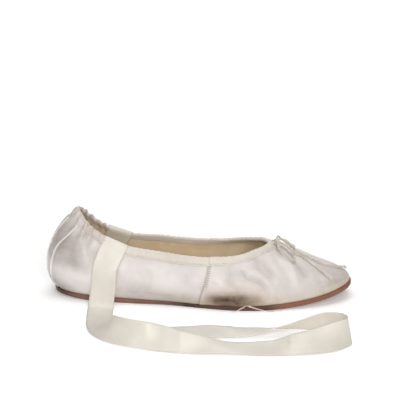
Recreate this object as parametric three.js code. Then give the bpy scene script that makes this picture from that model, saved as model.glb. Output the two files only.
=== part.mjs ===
// A soft satin ballet flat for the right foot, with a thin leather sole, a drawstring bow at
// the throat and two ankle ribbons that lie untied on the floor.
// Millimetres, +Z up, +X to the toe, +Y to the inner (medial) side of the foot.
// The origin is under the middle of the shoe's box, on the floor.
import * as THREE from "three";

// ---------------------------------------------------------------- driving sizes
const SOLE_THICK = 4.2; // leather outsole
const SOLE_MARGIN = 1.2; // how far the sole stands out past the upper's foot
const INSOLE_THICK = 1.8; // leather sock on the sole
const INSOLE_INSET = 0.8; // clear of the upper's inner wall
const WALL = 1.6; // satin, interlining and leather lining together
const GAP = 0.3; // between pieces that meet

const HEEL_ROLL = { to: 42, rise: 3.2, power: 1.5 }; // the back edge of the sole lifts a little
const ARCH = { from: 70, to: 124, rise: 0.5 }; // shank of the sole
const TOE_SPRING = { from: 174, to: 245, rise: 8.2, power: 1.8 };

const ORIGIN = { x: 122.08, y: -3.47 }; // middle of the shoe's box, measured from the back of the heel

const RIBBON_WIDE = 20;
const RIBBON_THICK = 0.7;
const CORD_D = 1.7; // drawstring

// Where the ribbons pass over the collar, as shares of the way round the foot of the upper.
const RIBBON_AT = { lateral: 0.1, medial: 0.9005 };

// ---------------------------------------------------------------- the last
// One row for each section of the upper, round from the back of the heel along the outer
// side to the toe and home along the inner side. Each section is one curve from the foot of
// the wall (foot x, y on the sole) to the collar (top x, y, z).
// flare/rise: how the wall sets off from the foot, outwards and up.
// spread/fall: how it comes down from the collar, outwards and down.
const COLUMNS = ["foot_x", "foot_y", "top_x", "top_y", "top_z", "flare", "rise", "spread", "fall"];
const SECTIONS = [
  [9.2, 0.0, 23.8, 0.0, 69.0, 17.5, 11.5, 26.5, 21.5], // heel, back
  [13.0, -12.8, 27.6, -10.0, 65.2, 15.0, 12.5, 21.5, 20.5], // heel, outer corner
  [26.5, -22.4, 36.5, -15.8, 57.0, 11.0, 13.5, 15.0, 18.0], // heel, outer side
  [50.0, -28.0, 57.0, -20.6, 45.8, 9.0, 13.5, 9.5, 15.0], // quarter
  [85.0, -31.6, 88.0, -26.0, 41.0, 7.0, 13.0, 7.5, 13.0], // waist
  [118.0, -37.0, 120.0, -28.8, 37.9, 6.0, 12.0, 8.5, 11.5], // vamp seam
  [152.0, -43.2, 150.0, -27.3, 39.3, 4.0, 12.0, 12.5, 8.0], // little-toe joint
  [185.0, -38.8, 163.3, -19.8, 41.3, 2.5, 12.5, 17.0, 6.5], // little toe
  [215.0, -28.4, 172.2, -12.0, 42.9, 1.5, 11.8, 28.6, 8.4], // toe, outer side
  [235.5, -13.0, 176.4, -5.4, 43.4, 1.0, 12.4, 35.4, 16.4], // toe, outer corner
  [243.8, 6.0, 177.8, 1.0, 43.5, 0.2, 13.0, 38.0, 18.0], // toe tip
  [237.5, 21.5, 176.6, 7.1, 43.4, 1.0, 12.4, 35.4, 16.4], // toe, inner corner
  [217.0, 31.5, 172.2, 13.3, 42.9, 1.5, 11.8, 28.6, 8.4], // big toe, side
  [190.0, 36.0, 163.3, 19.6, 41.3, 2.5, 12.5, 16.0, 6.5], // big toe
  [160.0, 34.0, 150.0, 24.4, 39.3, 4.0, 12.0, 10.5, 8.0], // big-toe joint
  [122.0, 23.2, 120.0, 24.6, 37.9, 6.0, 14.0, 4.5, 11.5], // arch, front
  [88.0, 20.8, 88.0, 22.0, 41.0, 7.0, 14.0, 5.0, 13.0], // arch
  [50.0, 23.8, 57.0, 18.8, 45.8, 9.0, 13.5, 9.0, 15.0], // quarter
  [26.5, 20.6, 36.5, 15.0, 57.0, 11.0, 13.5, 15.0, 18.0], // heel, inner side
  [13.0, 12.6, 27.6, 9.8, 65.2, 15.0, 12.5, 21.5, 20.5], // heel, inner corner
];

// A closed smooth curve through rows of numbers: cubic pieces that agree in slope and
// curvature, spaced by the distance between the sections' feet. at(u, d) is the row at the
// share u of the way round, or its d-th change with u.
function closedCurve(rows) {
  const n = rows.length;
  const gap = rows.map((r, i) => Math.hypot(rows[(i + 1) % n][0] - r[0], rows[(i + 1) % n][1] - r[1]));
  const whole = gap.reduce((a, b) => a + b, 0);
  const h = gap.map((g) => g / whole);
  const knot = [0];
  for (const g of h) knot.push(knot[knot.length - 1] + g);
  const curved = COLUMNS.map((_, c) => {
    const m = rows.map((_, i) => {
      const line = new Array(n + 1).fill(0);
      const before = (i + n - 1) % n,
        after = (i + 1) % n;
      line[before] += h[before];
      line[i] += 2 * (h[before] + h[i]);
      line[after] += h[i];
      line[n] = 6 * ((rows[after][c] - rows[i][c]) / h[i] - (rows[i][c] - rows[before][c]) / h[before]);
      return line;
    });
    for (let k = 0; k < n; k++) {
      let best = k;
      for (let r = k + 1; r < n; r++) if (Math.abs(m[r][k]) > Math.abs(m[best][k])) best = r;
      [m[k], m[best]] = [m[best], m[k]];
      for (let r = 0; r < n; r++) {
        if (r === k) continue;
        const f = m[r][k] / m[k][k];
        for (let q = k; q <= n; q++) m[r][q] -= f * m[k][q];
      }
    }
    return m.map((line, k) => line[n] / line[k]);
  });
  return function at(u, d = 0) {
    const s = u - Math.floor(u);
    let i = 0;
    while (i < n - 1 && s >= knot[i + 1]) i++;
    const j = (i + 1) % n,
      b = (s - knot[i]) / h[i],
      a = 1 - b;
    return COLUMNS.map((_, c) =>
      d === 0
        ? a * rows[i][c] +
          b * rows[j][c] +
          (((a ** 3 - a) * curved[c][i] + (b ** 3 - b) * curved[c][j]) * h[i] * h[i]) / 6
        : (rows[j][c] - rows[i][c]) / h[i] +
          (((1 - 3 * a * a) * curved[c][i] + (3 * b * b - 1) * curved[c][j]) * h[i]) / 6,
    );
  };
}
const lastAt = closedCurve(SECTIONS);

// Height of the sole's underside at a place along the shoe.
function soleBottom(x) {
  if (x < HEEL_ROLL.to) return HEEL_ROLL.rise * ((HEEL_ROLL.to - x) / HEEL_ROLL.to) ** HEEL_ROLL.power;
  if (x > ARCH.from && x < ARCH.to)
    return ARCH.rise * Math.sin((Math.PI * (x - ARCH.from)) / (ARCH.to - ARCH.from)) ** 2;
  if (x > TOE_SPRING.from)
    return TOE_SPRING.rise * ((x - TOE_SPRING.from) / (TOE_SPRING.to - TOE_SPRING.from)) ** TOE_SPRING.power;
  return 0;
}
const soleTop = (x) => soleBottom(x) + SOLE_THICK;

// The point of the upper's outer face at the share u round the shoe and v up the wall.
function wallPoint(u, v) {
  const [fx, fy, tx, ty, tz, flare, rise, spread, fall] = lastAt(u);
  const slope = lastAt(u, 1);
  const footN = new THREE.Vector2(slope[1], -slope[0]).normalize();
  const topN = new THREE.Vector2(slope[3], -slope[2]).normalize();
  const p0 = new THREE.Vector3(fx, fy, soleTop(fx) + GAP);
  const p3 = new THREE.Vector3(tx, ty, tz);
  const p1 = new THREE.Vector3(p0.x + footN.x * flare, p0.y + footN.y * flare, p0.z + rise);
  const p2 = new THREE.Vector3(p3.x + topN.x * spread, p3.y + topN.y * spread, p3.z - fall);
  return new THREE.CubicBezierCurve3(p0, p1, p2, p3).getPoint(v);
}
// Its outward direction there.
function wallNormal(u, v) {
  const e = 1e-4;
  const du = wallPoint(u + e, v).sub(wallPoint(u - e, v));
  const dv = wallPoint(u, Math.min(1, v + e)).sub(wallPoint(u, Math.max(0, v - e)));
  return du.cross(dv).normalize();
}
const wallOff = (u, v, off) => wallPoint(u, v).addScaledVector(wallNormal(u, v), off);

// ---------------------------------------------------------------- solids from rings
function solid(points, triangles) {
  const g = new THREE.BufferGeometry();
  g.setAttribute("position", new THREE.Float32BufferAttribute(points.flatMap((p) => [p.x, p.y, p.z]), 3));
  g.setIndex(triangles);
  g.computeVertexNormals();
  return g;
}

// A loft through closed rings, the last joined to the first: a hollow wall.
function hoop(rings) {
  const n = rings[0].length,
    tri = [];
  rings.forEach((_, r) => {
    const a = r * n,
      b = ((r + 1) % rings.length) * n;
    for (let i = 0; i < n; i++) {
      const j = (i + 1) % n;
      tri.push(a + i, a + j, b + j, a + i, b + j, b + i);
    }
  });
  return solid(rings.flat(), tri);
}

// A plate between two faces given as heights over an outline that is one low and one high y
// for each place along it.
function plate(places, lowY, highY, bottom, top, across) {
  const points = [],
    tri = [],
    row = [];
  const add = (x, y, z) => points.push(new THREE.Vector3(x, y, z)) - 1;
  places.forEach((x, i) => {
    const end = i === 0 || i === places.length - 1,
      n = end ? 0 : across;
    const make = (height) =>
      Array.from({ length: n + 1 }, (_, k) =>
        add(x, n ? lowY[i] + ((highY[i] - lowY[i]) * k) / n : (lowY[i] + highY[i]) / 2, height(x)),
      );
    row.push({ low: make(bottom), high: make(top) });
  });
  const strip = (a, b, flip) => {
    const put = (p, q, r) => (flip ? tri.push(p, r, q) : tri.push(p, q, r));
    for (let k = 0; k < Math.max(a.length, b.length) - 1; k++) {
      if (b.length > 1) put(a[Math.min(k, a.length - 1)], b[k], b[k + 1]);
      if (a.length > 1) put(a[k], b[Math.min(k + 1, b.length - 1)], a[k + 1]);
    }
  };
  for (let i = 0; i + 1 < row.length; i++) {
    strip(row[i].high, row[i + 1].high, false);
    strip(row[i].low, row[i + 1].low, true);
    for (const side of [0, -1]) {
      const at = (list) => list.at(side);
      const [a, b, c, d] = [at(row[i].low), at(row[i + 1].low), at(row[i + 1].high), at(row[i].high)];
      if (side === 0) tri.push(a, b, c, a, c, d);
      else tri.push(a, c, b, a, d, c);
    }
  }
  // the two tips are single upright edges, so their side faces already close them
  return solid(points, tri);
}

// Low and high y of a closed outline at places along x.
function spanOf(outline, places) {
  const low = [],
    high = [];
  for (const x of places) {
    let a = Infinity,
      b = -Infinity;
    outline.forEach((p, i) => {
      const q = outline[(i + 1) % outline.length];
      if ((p.x <= x && q.x >= x) || (p.x >= x && q.x <= x)) {
        const y = Math.abs(q.x - p.x) < 1e-9 ? p.y : p.y + ((q.y - p.y) * (x - p.x)) / (q.x - p.x);
        a = Math.min(a, y, Math.abs(q.x - p.x) < 1e-9 ? q.y : y);
        b = Math.max(b, y, Math.abs(q.x - p.x) < 1e-9 ? q.y : y);
      }
    });
    low.push(a);
    high.push(b);
  }
  return { low, high };
}
// Places along x from one end of an outline to the other, closer together at the ends.
function placesAlong(outline, count, extra = []) {
  const xs = outline.map((p) => p.x);
  const a = Math.min(...xs),
    b = Math.max(...xs);
  const places = Array.from({ length: count + 1 }, (_, i) => a + ((b - a) * (1 - Math.cos((Math.PI * i) / count))) / 2);
  for (const x of extra) {
    let k = 0;
    places.forEach((p, i) => {
      if (Math.abs(p - x) < Math.abs(places[k] - x)) k = i;
    });
    places[k] = x;
  }
  return places;
}
function outlineOff(off, count = 720) {
  return Array.from({ length: count }, (_, i) => {
    const u = i / count,
      [fx, fy] = lastAt(u),
      s = lastAt(u, 1),
      n = new THREE.Vector2(s[1], -s[0]).normalize();
    return new THREE.Vector2(fx + n.x * off, fy + n.y * off);
  });
}

// ---------------------------------------------------------------- sole, insole, upper
const BREAKS = [HEEL_ROLL.to, ARCH.from, ARCH.to, TOE_SPRING.from];
function soleGeometry() {
  const outline = outlineOff(SOLE_MARGIN),
    places = placesAlong(outline, 44, BREAKS),
    { low, high } = spanOf(outline, places);
  return plate(places, low, high, soleBottom, soleTop, 6);
}
function insoleGeometry() {
  const outline = outlineOff(-WALL - INSOLE_INSET),
    places = placesAlong(outline, 36, BREAKS),
    { low, high } = spanOf(outline, places);
  return plate(
    places,
    low,
    high,
    (x) => soleTop(x) + GAP,
    (x) => soleTop(x) + GAP + INSOLE_THICK,
    4,
  );
}
const ROUND = 96, // steps round the shoe
  UP = 11; // steps up the wall
function upperGeometry() {
  const ring = (v, off) => Array.from({ length: ROUND }, (_, i) => wallOff(i / ROUND, v, off));
  const outer = Array.from({ length: UP + 1 }, (_, k) => ring(k / UP, 0));
  const inner = Array.from({ length: UP + 1 }, (_, k) => ring(1 - k / UP, -WALL));
  return hoop([...outer, ...inner]);
}

// ---------------------------------------------------------------- ribbons
// Each ribbon is sewn inside the collar, turns over its edge, hangs down the wall and lies on
// the floor untied. On the wall it follows the upper's own shape; on the floor there is one
// row for each turn: x and y of its middle, lift of its lower edge, and bank, the lean of its
// width from flat in degrees (plus lifts the left edge, looking along it).
const RIBBON_SEWN = [0.7, 0.78, 0.86, 0.93]; // shares up the inner wall
const RIBBON_HANG = [0.97, 0.92, 0.85, 0.76, 0.66, 0.56]; // shares down the outer wall
const RIBBON_OFF = { inside: 1.7, over: 1.5, outside: 1.3 }; // clear of lining, edge and satin
const RIBBON_TURN = [-75, -25, 25, 75]; // steps over the collar's edge, degrees
const RIBBON_EASE = 0.3; // share of the wall over which it comes to hang straight
const FLOOR_COLUMNS = ["x", "y", "lift", "bank"];
const RIBBON_FLOOR = {
  lateral: [
    [46.8, -37.8, 12.5, 0],
    [46.0, -41.0, 5.5, 0],
    [45.8, -46.4, 1.2, 0],
    [45.8, -56.0, 0.5, 0],
    [46.4, -72.0, 0.9, 4],
    [47.4, -88.0, 0.5, 14],
    [50.0, -103.0, 0.5, 36],
    [56.5, -117.0, 0.5, 60],
    [67.5, -127.0, 0.5, 72],
    [83.0, -132.5, 0.5, 66],
    [101.0, -134.5, 0.5, 44],
    [123.0, -135.0, 0.8, 20],
    [149.0, -135.0, 1.8, 4],
    [177.0, -134.5, 0.8, 12],
    [203.0, -132.0, 0.5, 38],
    [223.0, -126.0, 0.5, 62],
    [233.5, -115.0, 0.5, 77],
    [230.5, -103.0, 0.5, 77],
    [218.0, -96.0, 0.5, 66],
    [200.5, -94.0, 0.5, 42],
    [180.0, -95.0, 0.5, 20],
    [157.0, -97.5, 1.2, 2],
    [134.0, -100.0, 1.5, -6],
    [112.0, -102.0, 0.6, -6],
    [93.0, -103.0, 0.9, 0],
    [77.0, -103.5, 0.5, 0],
  ],
  medial: [
    [47.2, 33.6, 12.5, 0],
    [46.4, 36.8, 5.5, 0],
    [46.4, 42.5, 1.2, -4],
    [47.6, 50.5, 0.5, -30],
    [52.6, 58.3, 0.5, -58],
    [62.5, 63.8, 0.5, -72],
    [78.0, 65.6, 0.5, -66],
    [96.0, 64.0, 0.5, -42],
    [115.0, 61.2, 1.2, -8],
    [132.0, 60.0, 0.8, 22],
    [147.0, 62.4, 0.5, 50],
    [157.8, 69.2, 0.5, 71],
    [161.8, 79.4, 0.5, 77],
    [157.6, 89.6, 0.5, 75],
    [146.0, 95.6, 0.5, 62],
    [130.0, 97.4, 0.5, 40],
    [110.0, 96.6, 0.8, 16],
    [88.0, 94.8, 1.4, 0],
    [66.0, 93.8, 0.8, -20],
    [45.0, 94.3, 0.5, -46],
    [28.0, 97.8, 0.5, -68],
    [17.5, 106.2, 0.5, -78],
    [18.5, 117.2, 0.5, -78],
    [30.0, 123.6, 0.5, -66],
    [47.0, 125.0, 0.5, -38],
    [68.0, 124.0, 1.2, -8],
    [92.0, 122.0, 0.6, 0],
    [115.0, 120.4, 0.9, 0],
    [138.5, 119.2, 0.5, 0],
  ],
};
function ribbonRows(side) {
  const u0 = RIBBON_AT[side],
    rows = [],
    e = 1e-4;
  const alongAt = (u, v) => wallPoint(u + e, v).sub(wallPoint(u - e, v));
  // it crosses the collar's edge squarely, then hangs
  const edgeU = alongAt(u0, 1).divideScalar(2 * e),
    edgeV = wallPoint(u0, 1).sub(wallPoint(u0, 1 - e)).divideScalar(e);
  const square = edgeV.dot(edgeU) / edgeU.lengthSq();
  const round = (v) => u0 + square * RIBBON_EASE * Math.tanh((1 - v) / RIBBON_EASE);
  const along = (v) => alongAt(round(v), v).normalize();
  for (const v of RIBBON_SEWN)
    rows.push({ middle: wallOff(round(v), v, -WALL - RIBBON_OFF.inside), across: along(v) });
  const edge = wallOff(u0, 1, -WALL / 2),
    out = wallNormal(u0, 1),
    up = out.clone().cross(along(1)).normalize();
  for (const deg of RIBBON_TURN) {
    const a = THREE.MathUtils.degToRad(deg),
      r = WALL / 2 + RIBBON_OFF.over;
    const middle = edge.clone().addScaledVector(out, r * Math.sin(a)).addScaledVector(up, r * Math.cos(a));
    rows.push({ middle, across: along(1) });
  }
  for (const v of RIBBON_HANG)
    rows.push({ middle: wallOff(round(v), v, RIBBON_OFF.outside), across: along(v) });
  const floor = RIBBON_FLOOR[side];
  floor.forEach(([x, y, lift, bank], i) => {
    const a = floor[Math.max(0, i - 1)],
      b = floor[Math.min(floor.length - 1, i + 1)],
      lean = THREE.MathUtils.degToRad(bank);
    const left = new THREE.Vector3(-(b[1] - a[1]), b[0] - a[0], 0).normalize();
    rows.push({
      middle: new THREE.Vector3(x, y, lift + (RIBBON_WIDE / 2) * Math.abs(Math.sin(lean)) + RIBBON_THICK / 2),
      across: left.multiplyScalar(Math.cos(lean)).add(new THREE.Vector3(0, 0, Math.sin(lean))),
    });
  });
  return rows;
}
function ribbonGeometry(side, steps = 150) {
  const rows = ribbonRows(side);
  const middle = new THREE.CatmullRomCurve3(rows.map((r) => r.middle), false, "centripetal");
  const across = new THREE.CatmullRomCurve3(rows.map((r) => r.across), false, "centripetal");
  // the same share of the rows on both curves, closer together where the rows are close
  const points = [],
    tri = [];
  for (let k = 0; k <= steps; k++) {
    const t = k / steps,
      m = middle.getPoint(t),
      way = middle.getTangent(t),
      w = across.getPoint(t);
    w.addScaledVector(way, -w.dot(way)).normalize();
    const n = way.clone().cross(w);
    for (const [s, h] of [
      [-1, -1],
      [1, -1],
      [1, 1],
      [-1, 1],
    ])
      points.push(
        m
          .clone()
          .addScaledVector(w, (s * RIBBON_WIDE) / 2)
          .addScaledVector(n, (h * RIBBON_THICK) / 2),
      );
    if (k === steps) break;
    for (let c = 0; c < 4; c++) {
      const a = 4 * k + c,
        b = 4 * k + ((c + 1) % 4);
      // upper and lower face are split along the same diagonal, so that a twist keeps the thickness
      if (c === 2) tri.push(a, b, a + 4, b, b + 4, a + 4);
      else tri.push(a, b, b + 4, a, b + 4, a + 4);
    }
  }
  const e = 4 * steps;
  tri.push(0, 2, 1, 0, 3, 2, e, e + 1, e + 2, e, e + 2, e + 3);
  return solid(points, tri);
}

// ---------------------------------------------------------------- drawstring
// The knot sits on the front of the collar; loops and ends lie over the vamp. Rows: aside, the
// share round the shoe from the toe's own section; up, the share up the wall; lift off it.
const TOE_ROW = 10;
const KNOT = { up: 0.962, lift: 3.1, radius: 2.3 };
const STRING = {
  drawstring_loop_lateral: [
    [-0.0093, 0.962, 4.6],
    [-0.0328, 0.945, 4.7],
    [-0.0553, 0.919, 4.9],
    [-0.0718, 0.872, 4.4],
    [-0.0803, 0.806, 3.4],
    [-0.0783, 0.747, 2.3],
    [-0.0666, 0.729, 1.7],
    [-0.0502, 0.755, 1.6],
    [-0.0345, 0.8, 1.8],
    [-0.023, 0.846, 2.2],
    [-0.0138, 0.889, 2.6],
    [-0.0069, 0.945, 2.65],
  ],
  drawstring_loop_medial: [
    [0.0091, 0.962, 4.6],
    [0.0312, 0.939, 4.8],
    [0.0485, 0.907, 5.1],
    [0.0616, 0.852, 4.8],
    [0.069, 0.778, 3.8],
    [0.0664, 0.718, 2.6],
    [0.0544, 0.711, 1.8],
    [0.0408, 0.743, 1.6],
    [0.0297, 0.789, 1.8],
    [0.0207, 0.836, 2.2],
    [0.0127, 0.883, 2.6],
    [0.0068, 0.945, 2.65],
  ],
  drawstring_end_lateral: [
    [-0.0016, 0.94, 3.85],
    [-0.0039, 0.886, 3.3],
    [-0.0115, 0.815, 1.7],
    [-0.0231, 0.72, 1.4],
    [-0.0359, 0.598, 1.4],
    [-0.0466, 0.456, 1.4],
    [-0.0503, 0.312, 1.4],
  ],
  drawstring_end_medial: [
    [0.0018, 0.948, 5.52],
    [0.0065, 0.901, 6.4],
    [0.0061, 0.842, 4.1],
    [0.0008, 0.776, 1.8],
    [-0.0065, 0.695, 1.4],
    [-0.0124, 0.603, 1.4],
    [-0.0135, 0.505, 1.4],
    [-0.0097, 0.408, 1.4],
    [-0.002, 0.317, 1.4],
    [0.0067, 0.245, 1.4],
  ],
};
function toeShare() {
  let a = 0,
    b = 1;
  // the share at which the outline reaches the toe's row
  const want = SECTIONS[TOE_ROW];
  let best = 0,
    near = Infinity;
  for (let i = 0; i <= 4000; i++) {
    const u = a + ((b - a) * i) / 4000,
      p = lastAt(u),
      d = Math.hypot(p[0] - want[0], p[1] - want[1]);
    if (d < near) [near, best] = [d, u];
  }
  return best;
}
const TOE_AT = toeShare();
function cordGeometry(rows) {
  const path = new THREE.CatmullRomCurve3(
    rows.map(([aside, up, lift]) => wallOff(TOE_AT + aside, up, lift)),
    false,
    "centripetal",
  );
  const shape = new THREE.Shape().absarc(0, 0, CORD_D / 2, 0, 2 * Math.PI);
  const steps = Math.round(path.getLength() / 2.2);
  return new THREE.ExtrudeGeometry(shape, { steps, curveSegments: 4, bevelEnabled: false, extrudePath: path });
}
function knotGeometry() {
  const g = new THREE.IcosahedronGeometry(KNOT.radius, 2);
  const p = wallOff(TOE_AT, KNOT.up, KNOT.lift);
  g.translate(p.x, p.y, p.z);
  return g;
}

// ---------------------------------------------------------------- assembly
const shoe = new THREE.Group();
shoe.name = "ballet_flat";
function put(name, geometry, color, roughness) {
  geometry.translate(-ORIGIN.x, -ORIGIN.y, 0);
  const mesh = new THREE.Mesh(geometry, new THREE.MeshStandardMaterial({ color, roughness, metalness: 0 }));
  mesh.name = name;
  shoe.add(mesh);
}
put("outsole", soleGeometry(), 0x6b4a3e, 0.6);
put("insole", insoleGeometry(), 0xc7b397, 0.55);
put("upper", upperGeometry(), 0xddd6d2, 0.4);
put("ribbon_lateral", ribbonGeometry("lateral"), 0xe9e4da, 0.35);
put("ribbon_medial", ribbonGeometry("medial"), 0xe9e4da, 0.35);
put("drawstring_knot", knotGeometry(), 0xe4ddd0, 0.7);
for (const [name, rows] of Object.entries(STRING)) put(name, cordGeometry(rows), 0xe4ddd0, 0.7);

export default shoe;
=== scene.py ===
"""The looks of a soft satin ballet flat for the right foot, with its ankle ribbons lying untied.

The tables below are in millimetres, measured from the back of the heel; mm() puts them in the
shared frame, in metres. u is the share of the way round the foot of the upper, from the back of
the heel along the outer side to the toe and home along the inner side; v is the share of the way
up the wall, from the sole to the collar.
"""

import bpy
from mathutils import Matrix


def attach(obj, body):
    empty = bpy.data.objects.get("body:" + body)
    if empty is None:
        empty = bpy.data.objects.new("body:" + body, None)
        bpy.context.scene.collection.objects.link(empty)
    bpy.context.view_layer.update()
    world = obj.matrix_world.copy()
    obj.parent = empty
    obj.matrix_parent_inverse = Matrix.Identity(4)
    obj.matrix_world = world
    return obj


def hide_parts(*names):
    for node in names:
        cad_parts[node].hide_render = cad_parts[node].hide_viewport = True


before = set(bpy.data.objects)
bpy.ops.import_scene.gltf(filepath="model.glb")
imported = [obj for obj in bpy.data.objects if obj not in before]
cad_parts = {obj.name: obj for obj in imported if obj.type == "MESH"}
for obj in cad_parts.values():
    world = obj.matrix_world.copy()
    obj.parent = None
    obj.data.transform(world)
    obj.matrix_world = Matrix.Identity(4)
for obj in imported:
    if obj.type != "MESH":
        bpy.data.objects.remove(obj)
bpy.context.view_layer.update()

import math

import bmesh
import bpy
import numpy as np
from mathutils import Matrix, Vector

scene = bpy.context.scene

# ------------------------------------------------------------------ camera
FOCAL_PX, IMAGE_PX = 1553.75, 400
LOOK_AT, DISTANCE = Vector((0.0, 0.001, 0.025)), 1.25
ELEVATION, ROLL = math.radians(17.0), math.radians(1.2)
LOOK_AT_PX = (-0.5, 64.0)  # where LOOK_AT shows, right of and below the middle


def make_camera():
    away = Vector((0, math.cos(ELEVATION), -math.sin(ELEVATION)))
    right = Vector((1, 0, 0))
    up = right.cross(away)
    place = LOOK_AT - away * DISTANCE
    right, up = (
        right * math.cos(ROLL) + up * math.sin(ROLL),
        up * math.cos(ROLL) - right * math.sin(ROLL),
    )
    pitch, yaw = (math.atan(LOOK_AT_PX[1] / FOCAL_PX), math.atan(-LOOK_AT_PX[0] / FOCAL_PX))
    away, up = away * math.cos(pitch) + up * math.sin(pitch), up * math.cos(pitch) - away * math.sin(pitch)
    away, right = away * math.cos(yaw) + right * math.sin(yaw), right * math.cos(yaw) - away * math.sin(yaw)
    data = bpy.data.cameras.new("camera")
    data.sensor_width, data.lens = 36.0, 36.0 * FOCAL_PX / IMAGE_PX
    data.clip_start, data.clip_end = 0.05, 30.0
    cam = bpy.data.objects.new("camera", data)
    scene.collection.objects.link(cam)
    m = Matrix((right, up, -away)).transposed().to_4x4()
    m.translation = place
    cam.matrix_world = m
    scene.camera = cam


make_camera()

# ------------------------------------------------------------------ the last
SOLE_THICK, SOLE_MARGIN = 4.2, 1.2
INSOLE_THICK, INSOLE_INSET = 1.8, 0.8
WALL, GAP = 1.6, 0.3
HEEL_ROLL_TO, HEEL_ROLL_RISE, HEEL_ROLL_POWER = 42.0, 3.2, 1.5
ARCH_FROM, ARCH_TO, ARCH_RISE = 70.0, 124.0, 0.5
TOE_FROM, TOE_TO, TOE_RISE, TOE_POWER = 174.0, 245.0, 8.2, 1.8
ORIGIN = np.array([122.08, -3.47, 0.0])
RIBBON_WIDE, CORD_D = 20.0, 1.7
RIBBON_AT = {"lateral": 0.1, "medial": 0.9005}

# foot x, foot y, top x, top y, top z, flare, rise, spread, fall
SECTIONS = np.array(
    [
        [9.2, 0.0, 23.8, 0.0, 69.0, 17.5, 11.5, 26.5, 21.5],
        [13.0, -12.8, 27.6, -10.0, 65.2, 15.0, 12.5, 21.5, 20.5],
        [26.5, -22.4, 36.5, -15.8, 57.0, 11.0, 13.5, 15.0, 18.0],
        [50.0, -28.0, 57.0, -20.6, 45.8, 9.0, 13.5, 9.5, 15.0],
        [85.0, -31.6, 88.0, -26.0, 41.0, 7.0, 13.0, 7.5, 13.0],
        [118.0, -37.0, 120.0, -28.8, 37.9, 6.0, 12.0, 8.5, 11.5],
        [152.0, -43.2, 150.0, -27.3, 39.3, 4.0, 12.0, 12.5, 8.0],
        [185.0, -38.8, 163.3, -19.8, 41.3, 2.5, 12.5, 17.0, 6.5],
        [215.0, -28.4, 172.2, -12.0, 42.9, 1.5, 11.8, 28.6, 8.4],
        [235.5, -13.0, 176.4, -5.4, 43.4, 1.0, 12.4, 35.4, 16.4],
        [243.8, 6.0, 177.8, 1.0, 43.5, 0.2, 13.0, 38.0, 18.0],
        [237.5, 21.5, 176.6, 7.1, 43.4, 1.0, 12.4, 35.4, 16.4],
        [217.0, 31.5, 172.2, 13.3, 42.9, 1.5, 11.8, 28.6, 8.4],
        [190.0, 36.0, 163.3, 19.6, 41.3, 2.5, 12.5, 16.0, 6.5],
        [160.0, 34.0, 150.0, 24.4, 39.3, 4.0, 12.0, 10.5, 8.0],
        [122.0, 23.2, 120.0, 24.6, 37.9, 6.0, 14.0, 4.5, 11.5],
        [88.0, 20.8, 88.0, 22.0, 41.0, 7.0, 14.0, 5.0, 13.0],
        [50.0, 23.8, 57.0, 18.8, 45.8, 9.0, 13.5, 9.0, 15.0],
        [26.5, 20.6, 36.5, 15.0, 57.0, 11.0, 13.5, 15.0, 18.0],
        [13.0, 12.6, 27.6, 9.8, 65.2, 15.0, 12.5, 21.5, 20.5],
    ]
)
TOE_ROW = 10
ROWS = len(SECTIONS)


def closed_curve():
    step = np.roll(SECTIONS, -1, axis=0)[:, :2] - SECTIONS[:, :2]
    h = np.hypot(step[:, 0], step[:, 1])
    h = h / h.sum()
    a, b = np.zeros((ROWS, ROWS)), np.zeros((ROWS, SECTIONS.shape[1]))
    for i in range(ROWS):
        p, q = (i - 1) % ROWS, (i + 1) % ROWS
        a[i, p] += h[p]
        a[i, i] += 2 * (h[p] + h[i])
        a[i, q] += h[i]
        b[i] = 6 * ((SECTIONS[q] - SECTIONS[i]) / h[i] - (SECTIONS[i] - SECTIONS[p]) / h[p])
    return h, np.concatenate([[0.0], np.cumsum(h)]), np.linalg.solve(a, b)


STEP, KNOTS, BEND = closed_curve()
TOE_AT = KNOTS[TOE_ROW]


def last(u, d=0):
    s = np.asarray(u, float)
    s = s - np.floor(s)
    i = np.clip(np.searchsorted(KNOTS, s, side="right") - 1, 0, ROWS - 1)
    j = (i + 1) % ROWS
    h = STEP[i][..., None]
    b = (s[..., None] - KNOTS[i][..., None]) / h
    a = 1 - b
    if d == 0:
        return (
            a * SECTIONS[i]
            + b * SECTIONS[j]
            + ((a**3 - a) * BEND[i] + (b**3 - b) * BEND[j]) * h * h / 6
        )
    return (SECTIONS[j] - SECTIONS[i]) / h + (
        (1 - 3 * a * a) * BEND[i] + (3 * b * b - 1) * BEND[j]
    ) * h / 6


# The sole's edge pared down at the heel and the waist, and the toe lifted with wear: along the shoe, millimetres.
SKIVED = [(-10, 0.95), (14, 0.85), (28, 0.10), (44, 0.0), (66, 0.45), (82, 1.10), (96, 1.60), (110, 1.60), (122, 1.30), (150, 1.10), (164, 0.65), (182, 0.0)]
TOE_WORN_FROM, TOE_WORN = 168.0, 1.0


# At the back of the heel the sole stands further out and the cloth bulges less.
HEEL_BACK, HEEL_FLAT, HEEL_REACH = 1.9, 3.6, 0.034


def heel_share(u):
    u = np.asarray(u, float)
    return np.exp(-(((u - np.floor(u + 0.5)) / HEEL_REACH) ** 2))


def skived(x):
    x = np.asarray(x, float)
    at, off = np.array(SKIVED).T
    return sum(np.interp(x + shift, at, off) for shift in (-7.0, -3.5, 0.0, 3.5, 7.0)) / 5


def toe_worn(x):
    return TOE_WORN * np.clip((np.asarray(x, float) - TOE_WORN_FROM) / (TOE_TO - TOE_WORN_FROM), 0, None) ** 1.3


def sole_bottom(x):
    return sole_plain(x) + toe_worn(x)


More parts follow.
